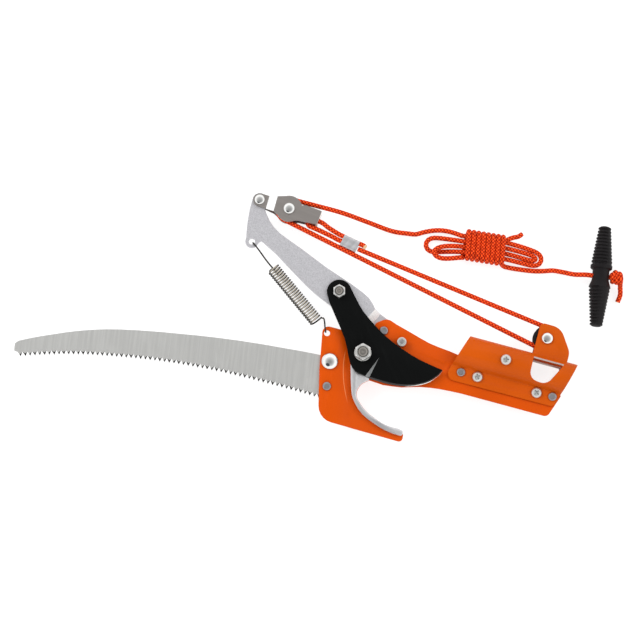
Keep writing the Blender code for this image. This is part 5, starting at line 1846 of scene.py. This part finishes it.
    def falls(self) -> tuple[list[Vector], list[Vector], list[Vector], list[Vector]]:
        """The rope between the sheaves: the upper fall, the rear bight, the lower fall and the front bight.

        Returns:
            The four lines in the rope's own order.
        """
        front, rear = Vector(self.front), Vector(self.rear)
        ahead = (rear - front).normalized()
        side = Vector((-ahead.y, ahead.x))
        centre, out, across = self.sleeve_axes()
        start = centre + out * (self.sleeve_l / 2 + CLEAR) - across * (self.radius + CLEAR)
        span = start - rear
        touch = math.atan2(span.y, span.x) - math.acos(self.run_r / span.length)
        low = math.atan2(-side.y, -side.x)
        end = rear + Vector((math.cos(touch), math.sin(touch))) * self.run_r
        upper = [Vector((*start, self.middle)), Vector((*end, 0.0))]
        lower = [Vector((*(rear - side * self.run_r), 0.0)), Vector((*(front - side * self.run_r), self.middle))]
        round_rear = arc(self.rear, self.run_r, touch, (low - touch) % TURN - TURN)
        round_front = arc(self.front, self.run_r, low, (math.pi / 2 - low) % TURN - TURN)
        rear_bight = [Vector((x, y, 0.0)) for x, y in round_rear]
        return upper, rear_bight, lower, [Vector((x, y, self.middle)) for x, y in round_front]

    def stub(self) -> list[Vector]:
        """The cut end that stands out of the sleeve.

        Returns:
            Its line.
        """
        centre, out, across = self.sleeve_axes()
        mouth = centre + out * (self.sleeve_l / 2 - 1.0) + across * (self.radius + CLEAR)
        rise = self.stub_rise
        start = [(*mouth, self.middle), (*(mouth + out * 4), self.middle + rise / 3)]
        return smooth([*start, (*self.stub_end, self.middle + rise)], 4)

    def eye(self) -> list[Vector]:
        """The eye: out of the sleeve, through the strap's fold and back.

        Returns:
            Its line.
        """
        centre, way, across = self.sleeve_axes()
        mouth = centre - way * (self.sleeve_l / 2 + CLEAR)
        over = across * (self.radius + CLEAR)
        points = [mouth + over + way * 2, mouth + over, mouth + over - way * 4, *(Vector(p) for p in self.eye_route)]
        points += [mouth - over - way * 4, mouth - over, mouth - over + way * 2]
        return smooth([(*p, self.middle) for p in points], 4)

    def slack(self, hank: Sequence[Vector]) -> list[Vector]:
        """The free rope from the front sheave's top down to the hank.

        Args:
            hank: the hank's line.

        Returns:
            Its line.
        """
        top = (self.front[0], self.front[1] + self.run_r, self.middle)
        start = [top, (top[0] + 8.0, top[1], self.middle)]
        end = [hank[0] - (hank[1] - hank[0]).normalized() * 6.0, hank[0]]
        return along(smooth(start + self.over_floor(self.slack_route) + end, 8), self.free_step)

    def lay_slack(self, rope: Laying, line: Sequence[Vector]) -> None:
        """Lay the slack in two stretches, each left unattached with its transform baked in.

        Args:
            rope: the rope that it belongs to.
            line: the whole slack's line.
        """
        count = round(self.slack_joint / self.free_step)
        near, far = list(line[: count + 1]), list(line[count:])
        for name, stretch, first, second, start, nodes in (
            ("rope_slack_near", near, Body.SHACKLE, Body.LEVER, near[1], ["rope_slack"]),
            ("rope_slack_far", far, Body.LEVER, Body.FRAME, far[0], []),
        ):
            made = self.dressed(name, rope.stretch(stretch), None, *nodes)
            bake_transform(made)
            self.declare(stretch)

    def hank(self) -> list[Vector]:
        """The hanked rope: flat loops drawn in at the waist, then turns wound round the waist.

        Returns:
            Its line.
        """
        half = self.wraps * self.wrap_pitch / 2
        tall = 2 * self.radius + self.wrap_gap
        rise = self.radius + tall
        rows = [tall * k for k in (1.5, -1.5, 0.5, -0.5)]
        knots: list[Sequence[float]] = list(smooth(self.entry, 2))
        for (way, reach, width, middle), start, end in zip(self.loops, rows, rows[1:]):
            knots += [(-way * (half + 3), start, rise), (way * (half + 3), start, rise)]
            sign = math.copysign(1, start - end)
            for k in range(self.loop_points + 1):
                angle = math.pi * (0.5 - k / self.loop_points)
                x = way * (reach - width + width * math.cos(angle))
                knots.append((x, middle + sign * width * math.sin(angle), self.radius + 0.2))
        knots += [(half + 3, rows[-1], rise), (-half - 3, rows[-1], rise)]
        knots += smooth(self.cross_over, 2)
        knots += self.bound_turns(half, tall, rise)
        knots += smooth(self.way_out, 2)
        return self.eased(along(smooth(self.by_hank(knots), 4), 1.5), half + 4.0)

    def eased(self, line: Sequence[Vector], waist: float) -> list[Vector]:
        """The hank's line with the bends of its loops opened out; its waist and its ends keep their place.

        Args:
            line: the line, evenly spaced.
            waist: how far the waist reaches either way from the hank's middle.

        Returns:
            The eased line.
        """
        way = Vector((math.cos(self.hank_angle), math.sin(self.hank_angle)))
        points = [p.copy() for p in line]
        loose = [abs((p.xy - Vector(self.hank_at)).dot(way)) > waist for p in points]
        for _ in range(self.ease_rounds):
            before = [p.copy() for p in points]
            for k in range(2, len(points) - 2):
                if loose[k]:
                    points[k] = before[k] * 0.5 + (before[k - 1] + before[k + 1]) * 0.25
        return points

    def bound_turns(self, half: float, tall: float, rise: float) -> list[Place]:
        """The turns round the hank's waist.

        Args:
            half: half the length that they cover.
            tall: the spacing of strands side by side.
            rise: the height of the waist's middle over the floor.

        Returns:
            Their points along the hank, across it and over the floor.
        """
        flat, bend = 3 * tall, math.pi * tall
        lap = 2 * (flat + bend)
        middle = self.bend_points // 2
        knots = []
        for turn in range(2 * self.wraps + 1):
            side = -1 if turn % 2 == 0 else 1
            first = middle if turn == 0 else 0
            last = middle if turn == 2 * self.wraps else self.bend_points
            for k in range(first, last + 1):
                angle = math.pi * (k / self.bend_points - 0.5)
                gone = turn * lap / 2 + tall * angle
                across = side * (flat / 2 + tall * math.cos(angle))
                place = -half + self.wrap_pitch * gone / lap
                knots.append((place, across, rise + side * tall * math.sin(angle)))
        return knots

    def lead(self, hank: Sequence[Vector], handle: "PullHandle") -> list[Vector]:
        """The free rope from the hank through the pull handle's neck.

        Args:
            hank: the hank's line.
            handle: the handle.

        Returns:
            Its line.
        """
        start = [hank[-1], hank[-1] + (hank[-1] - hank[-2]).normalized() * 6.0]
        lies = handle.lying()
        reach = (-handle.neck_r - 6.0, -handle.neck_r - 2.0, 0.0, self.knot_reach - self.knot_half)
        neck = [lies @ Vector((x, 0, 0)) for x in reach]
        return along(smooth(start + self.over_floor(self.lead_route) + neck, 8), self.free_step)

    def knot(self, handle: "PullHandle") -> list[Vector]:
        """The stopper knot: the rope turns twice about itself, and its short tail hangs over.

        Args:
            handle: the handle that the knot stops in.

        Returns:
            Its line.
        """
        lies = handle.lying()
        points = [Vector((self.knot_reach - self.knot_half, 0, 0))]
        for k in range(self.knot_points + 1):
            share = k / self.knot_points
            angle = self.knot_last - TURN * self.knot_turns * (1 - share)
            reach = 4.25 + 0.25 * math.sin(2.3 * angle)
            x = self.knot_reach - 4.6 + 7.6 * share
            points.append(Vector((x, reach * math.cos(angle), reach * math.sin(angle) + 1.2 * (1 - share))))
        wound = [lies @ p for p in points]
        return smooth(wound + self.over_floor(self.tail_route), 5)

    def sleeve(self) -> BMesh:
        """The crimped sleeve: two lobes pressed in at two bands, with rolled mouths.

        Returns:
            The sleeve.
        """
        centre, way, across = self.sleeve_axes()
        bm = bmesh.new()
        bmesh.ops.create_cube(bm, size=2.0)
        bmesh.ops.subdivide_edges(bm, edges=list(bm.edges), cuts=19, use_grid_fill=True)
        for vert in bm.verts:
            along_it, over, up = vert.co
            # a superellipse across, so that the sides are round and the faces nearly flat
            size = max(abs(over), abs(up), 1e-6)
            norm = (abs(over) ** 5 + abs(up) ** 5) ** (1 / 5)
            over, up = over * size / max(norm, 1e-6), up * size / max(norm, 1e-6)
            pressed = max(math.exp(-(((along_it - s) / 0.2) ** 2)) for s in self.crimps)
            waist = 1 - 0.07 * math.exp(-((over / 0.3) ** 2))
            rim = 1 - 0.06 * max(0.0, abs(along_it) - 0.9) / 0.1
            x = along_it * self.crimp_l / 2
            y = self.crimp_off + over * self.crimp_w / 2 * rim * (1 - 0.02 * pressed)
            z = up * self.sleeve_t / 2 * rim * waist * (1 - 0.09 * pressed)
            place = centre + way * x + across * y
            vert.co = (place.x, place.y, self.middle + z)
        return bm

    def by_hank(self, knots: Iterable[Sequence[float]]) -> list[Vector]:
        """Points given along the hank, across it and over the floor, in plan.

        Args:
            knots: the points.

        Returns:
            The same points in plan.
        """
        spin = Matrix.Rotation(self.hank_angle, 2)
        places = []
        for x, y, z in knots:
            places.append(Vector((*(Vector(self.hank_at) + spin @ Vector((x, y))), self.floor + z)))
        return places

    def over_floor(self, points: Iterable[Place]) -> list[Vector]:
        """A route given by heights over the floor, in plan."""
        return [Vector((x, y, self.floor + z)) for x, y, z in points]


@dataclass
class PullHandle:
    """The moulded pull handle: a neck for the rope between two rims, and ribbed grips that taper out."""

    centre: Point = (184.3, 123.0)
    end: Point = (177.6, 167.6)
    floor: float = -14.4
    tip_r: float = 5.6
    rim_r: float = 9.6
    neck_r: float = 7.4
    neck: float = 7.0
    rim: float = 10.0
    ribs: int = 11
    rib_depth: float = 1.1
    bore: float = 2.4
    filled_above: Point = (38.0, 34.0)
    filled_below: Point = (52.0, 56.0)
    made: bpy.types.Object | None = None

    @property
    def half(self) -> float:
        """Half the handle's length."""
        return (Vector(self.end) - Vector(self.centre)).length

    def build(self) -> None:
        """Turn the handle and bore its neck."""
        bm = turned(self.profile(), (0, 0), 72)
        self.flatten(bm)
        bmesh.ops.transform(bm, matrix=self.lying(), verts=bm.verts)
        mouth = self.bore + 0.5
        side = [(0, -20), (mouth + 2, -20), (mouth, -self.neck_r + 0.1), (self.bore, -self.neck_r + 0.7)]
        hole = turned(side + [(r, -z) for r, z in side[::-1]], (0, 0), 32)
        bmesh.ops.transform(hole, matrix=self.lying() @ Matrix.Rotation(math.pi / 2, 4, "Y"), verts=hole.verts)
        self.made = piece("ribbed_pull_handle", cut_with(bm, [hole]), [PLASTIC], Body.FRAME, ["pull_handle"], crease=38)

    def profile(self) -> list[Point]:
        """The handle's side, from one end to the other: a stepped rim above the neck, a smooth shoulder below it.

        Returns:
            Its (radius, height) points.
        """
        neck, neck_r, rim, rim_r, half = self.neck, self.neck_r, self.rim, self.rim_r, self.half
        grip = []
        pitch = (half - rim - 2.0) / self.ribs
        # how far down from the ribs' crests and how far along each rib its points lie
        rib = ((self.rib_depth, -0.02), (self.rib_depth, 0.3), (0.5, 0.4), (0.1, 0.5), (0, 0.62), (0, 0.8), (0.3, 0.93))
        for k in range(self.ribs):
            place = rim + 1.0 + pitch * k
            radius = self.full_r(place + pitch)
            grip += [(radius - deep, place + pitch * share) for deep, share in rib]
        grip += [(self.tip_r - 0.7, half - 1.1), (self.tip_r - 1.6, half - 0.3), (self.tip_r - 2.6, half), (0, half)]
        upper = [
            (neck_r, neck - 2.2), (neck_r + 0.3, neck - 1.2), (rim_r - 0.5, neck - 0.4),
            (rim_r, neck + 0.2), (rim_r, rim - 0.4), (rim_r - 0.35, rim),
        ]
        lower = [
            (neck_r, neck - 4.5), (neck_r + 0.25, neck - 3.0), (neck_r + 0.9, neck - 1.0),
            (rim_r - 0.5, neck + 1.2), (rim_r, rim),
        ]
        return [(r, -z) for r, z in (lower + grip)[::-1]] + [(neck_r, 0.0)] + upper + grip

    def full_r(self, place: float) -> float:
        """The grip's radius over its ribs, at a height from the middle."""
        return self.rim_r + (self.tip_r - self.rim_r) * (place - self.rim) / (self.half - self.rim)

    def flatten(self, bm: BMesh) -> None:
        """Fill the ribs' grooves along the handle's front, wide below the neck and narrow above it.

        Args:
            bm: the handle, upright on the axis.
        """
        for vert in bm.verts:
            place, radius = abs(vert.co.z), vert.co.xy.length
            if not self.rim + 0.5 < place < self.half - 1.6 or radius < 1.0:
                continue
            middle, width = self.filled_above if vert.co.z > 0 else self.filled_below
            angle = math.degrees(math.atan2(-vert.co.y, vert.co.x))
            off = min(abs(angle - middle) / width, 1.0)
            wanted = radius + (self.full_r(place) - 0.3 - radius) * (1 - off**4) * 0.9
            vert.co.xy *= wanted / radius

    def lying(self) -> Matrix:
        """Where the handle lies: its length along local Z, the rope's hole along local X.

        Returns:
            The matrix from the handle's own axes to the plan.
        """
        middle = Vector((*self.centre, self.floor + self.rim_r))
        axis = (Vector(self.end) - Vector(self.centre)).normalized().to_3d()
        across = Vector((axis.y, -axis.x, 0))
        turn = Matrix((across, axis.cross(across), axis))
        return Matrix.Translation(middle) @ turn.transposed().to_4x4()


# ---------------------------------------------------------------- studio


@dataclass
class Studio:
    """The pale floor, the soft lights and the camera."""

    size: float = 3.2
    tilt: float = math.radians(10)
    distance: float = 1.5
    lens: float = 96.43
    looks_at: Point = (-43.79, 19.32)
    floor: float = -14.4
    card: Place = (-0.26, -0.34, 0.9)
    card_r: float = math.radians(17)
    card_colour: Colour = (0.05, 0.055, 0.065)
    sky: tuple[tuple[float, float], ...] = ((0.0, 0.7), (0.3, 0.9), (0.8, 1.0), (0.93, 0.5), (1.0, 0.27))
    sky_power: float = 1.2
    softboxes: tuple[tuple[str, Place, float, float], ...] = (
        ("key_softbox", (-1.2, 0.8, 1.25), 0.9, 16.0),
        ("side_softbox", (1.4, 0.2, 1.0), 0.7, 6.0),
        ("low_softbox", (-0.6, -1.3, 0.9), 0.7, 4.0),
    )

    def build(self) -> None:
        """Lay the floor, light it and set the camera."""
        self.lay_floor()
        self.light_sky()
        aim = TO_FRAME @ Vector((*self.looks_at, 0))
        turn = Matrix.Rotation(PICTURE_TURN, 4, "Z")
        for name, place, size, power in self.softboxes:
            self.softbox(name, aim + turn @ Vector(place), aim, size, power)
        camera = bpy.data.cameras.new("studio_camera")
        camera.lens, camera.sensor_width, camera.clip_end = self.lens, 36.0, 20.0
        eye = placed("studio_camera", camera)
        back = Vector((0, -math.sin(self.tilt), math.cos(self.tilt))) * self.distance
        eye.matrix_world = Matrix.Translation(aim + turn @ back) @ turn @ Matrix.Rotation(self.tilt, 4, "X")
        bpy.context.scene.camera = eye
        bpy.context.scene.view_settings.view_transform = "Standard"

    def lay_floor(self) -> None:
        """Lay the studio paper under the saw head."""
        bm = bmesh.new()
        bmesh.ops.create_grid(bm, x_segments=16, y_segments=16, size=self.size / 2)
        bmesh.ops.translate(bm, vec=(0, 0, DATUM.z + self.floor * MM - 0.0001), verts=bm.verts)
        mesh = meshed("studio_floor", bm)
        mesh.materials.append(PAPER.material())
        placed("studio_floor", mesh)
        LOG.info("studio_floor: %d faces", len(mesh.polygons))

    def light_sky(self) -> None:
        """Light the studio all round: bright overhead, darker towards the horizon, for the metal to mirror."""
        bpy.context.scene.world = world = bpy.data.worlds.new("studio_sky")
        sheet = NodeSheet(world, "Background")
        way = sheet.node("TexCoord", output="Generated")
        stops = [(where, (level,) * 3) for where, level in self.sky]
        sky = sheet.node("ValToRGB", {"stops": stops}, {0: sheet.axes(way)[2]})
        # a dark card beside the camera, which shows in the domed rivets
        card = Matrix.Rotation(PICTURE_TURN, 3, "Z") @ Vector(self.card).normalized()
        near = sheet.node("VectorMath", {"operation": "DOT_PRODUCT"}, {0: way, 1: tuple(card)}, "Value")
        edge = sheet.node("MapRange", None, {0: near, 1: math.cos(self.card_r), 2: math.cos(self.card_r * 0.7)})
        sheet.lay(color=sheet.mix(edge, sky, self.card_colour), strength=self.sky_power)

    def softbox(self, name: str, place: Vector, aim: Vector, size: float, power: float) -> None:
        """Hang a square soft light.

        Args:
            name: its name.
            place: where it hangs, in metres of the frame.
            aim: what it faces.
            size: the side of its square, in metres.
            power: its power in watts.
        """
        light = bpy.data.lights.new(name, "AREA")
        light.shape, light.size, light.energy = "SQUARE", size, power
        made = placed(name, light)
        made.visible_glossy = False  # or flat steel would be as white as the floor from low angles
        made.matrix_world = Matrix.Translation(place) @ (aim - place).to_track_quat("-Z", "Y").to_matrix().to_4x4()


def main() -> None:
    """Build the saw head and its studio, in order."""
    logging.basicConfig(level=logging.INFO, format="%(name)s: %(message)s")
    Studio().build()
    handle = PullHandle()
    handle.build()
    PullRope().build(handle)
    for part in (HeadPlate(), PruningSaw(), Cutter(), RopeLever(), PoleSocket(), PulleyBlock(), ReturnSpring()):
        LOG.info("building %s", type(part).__name__)
        part.build()


if __name__ == "__main__":
    main()
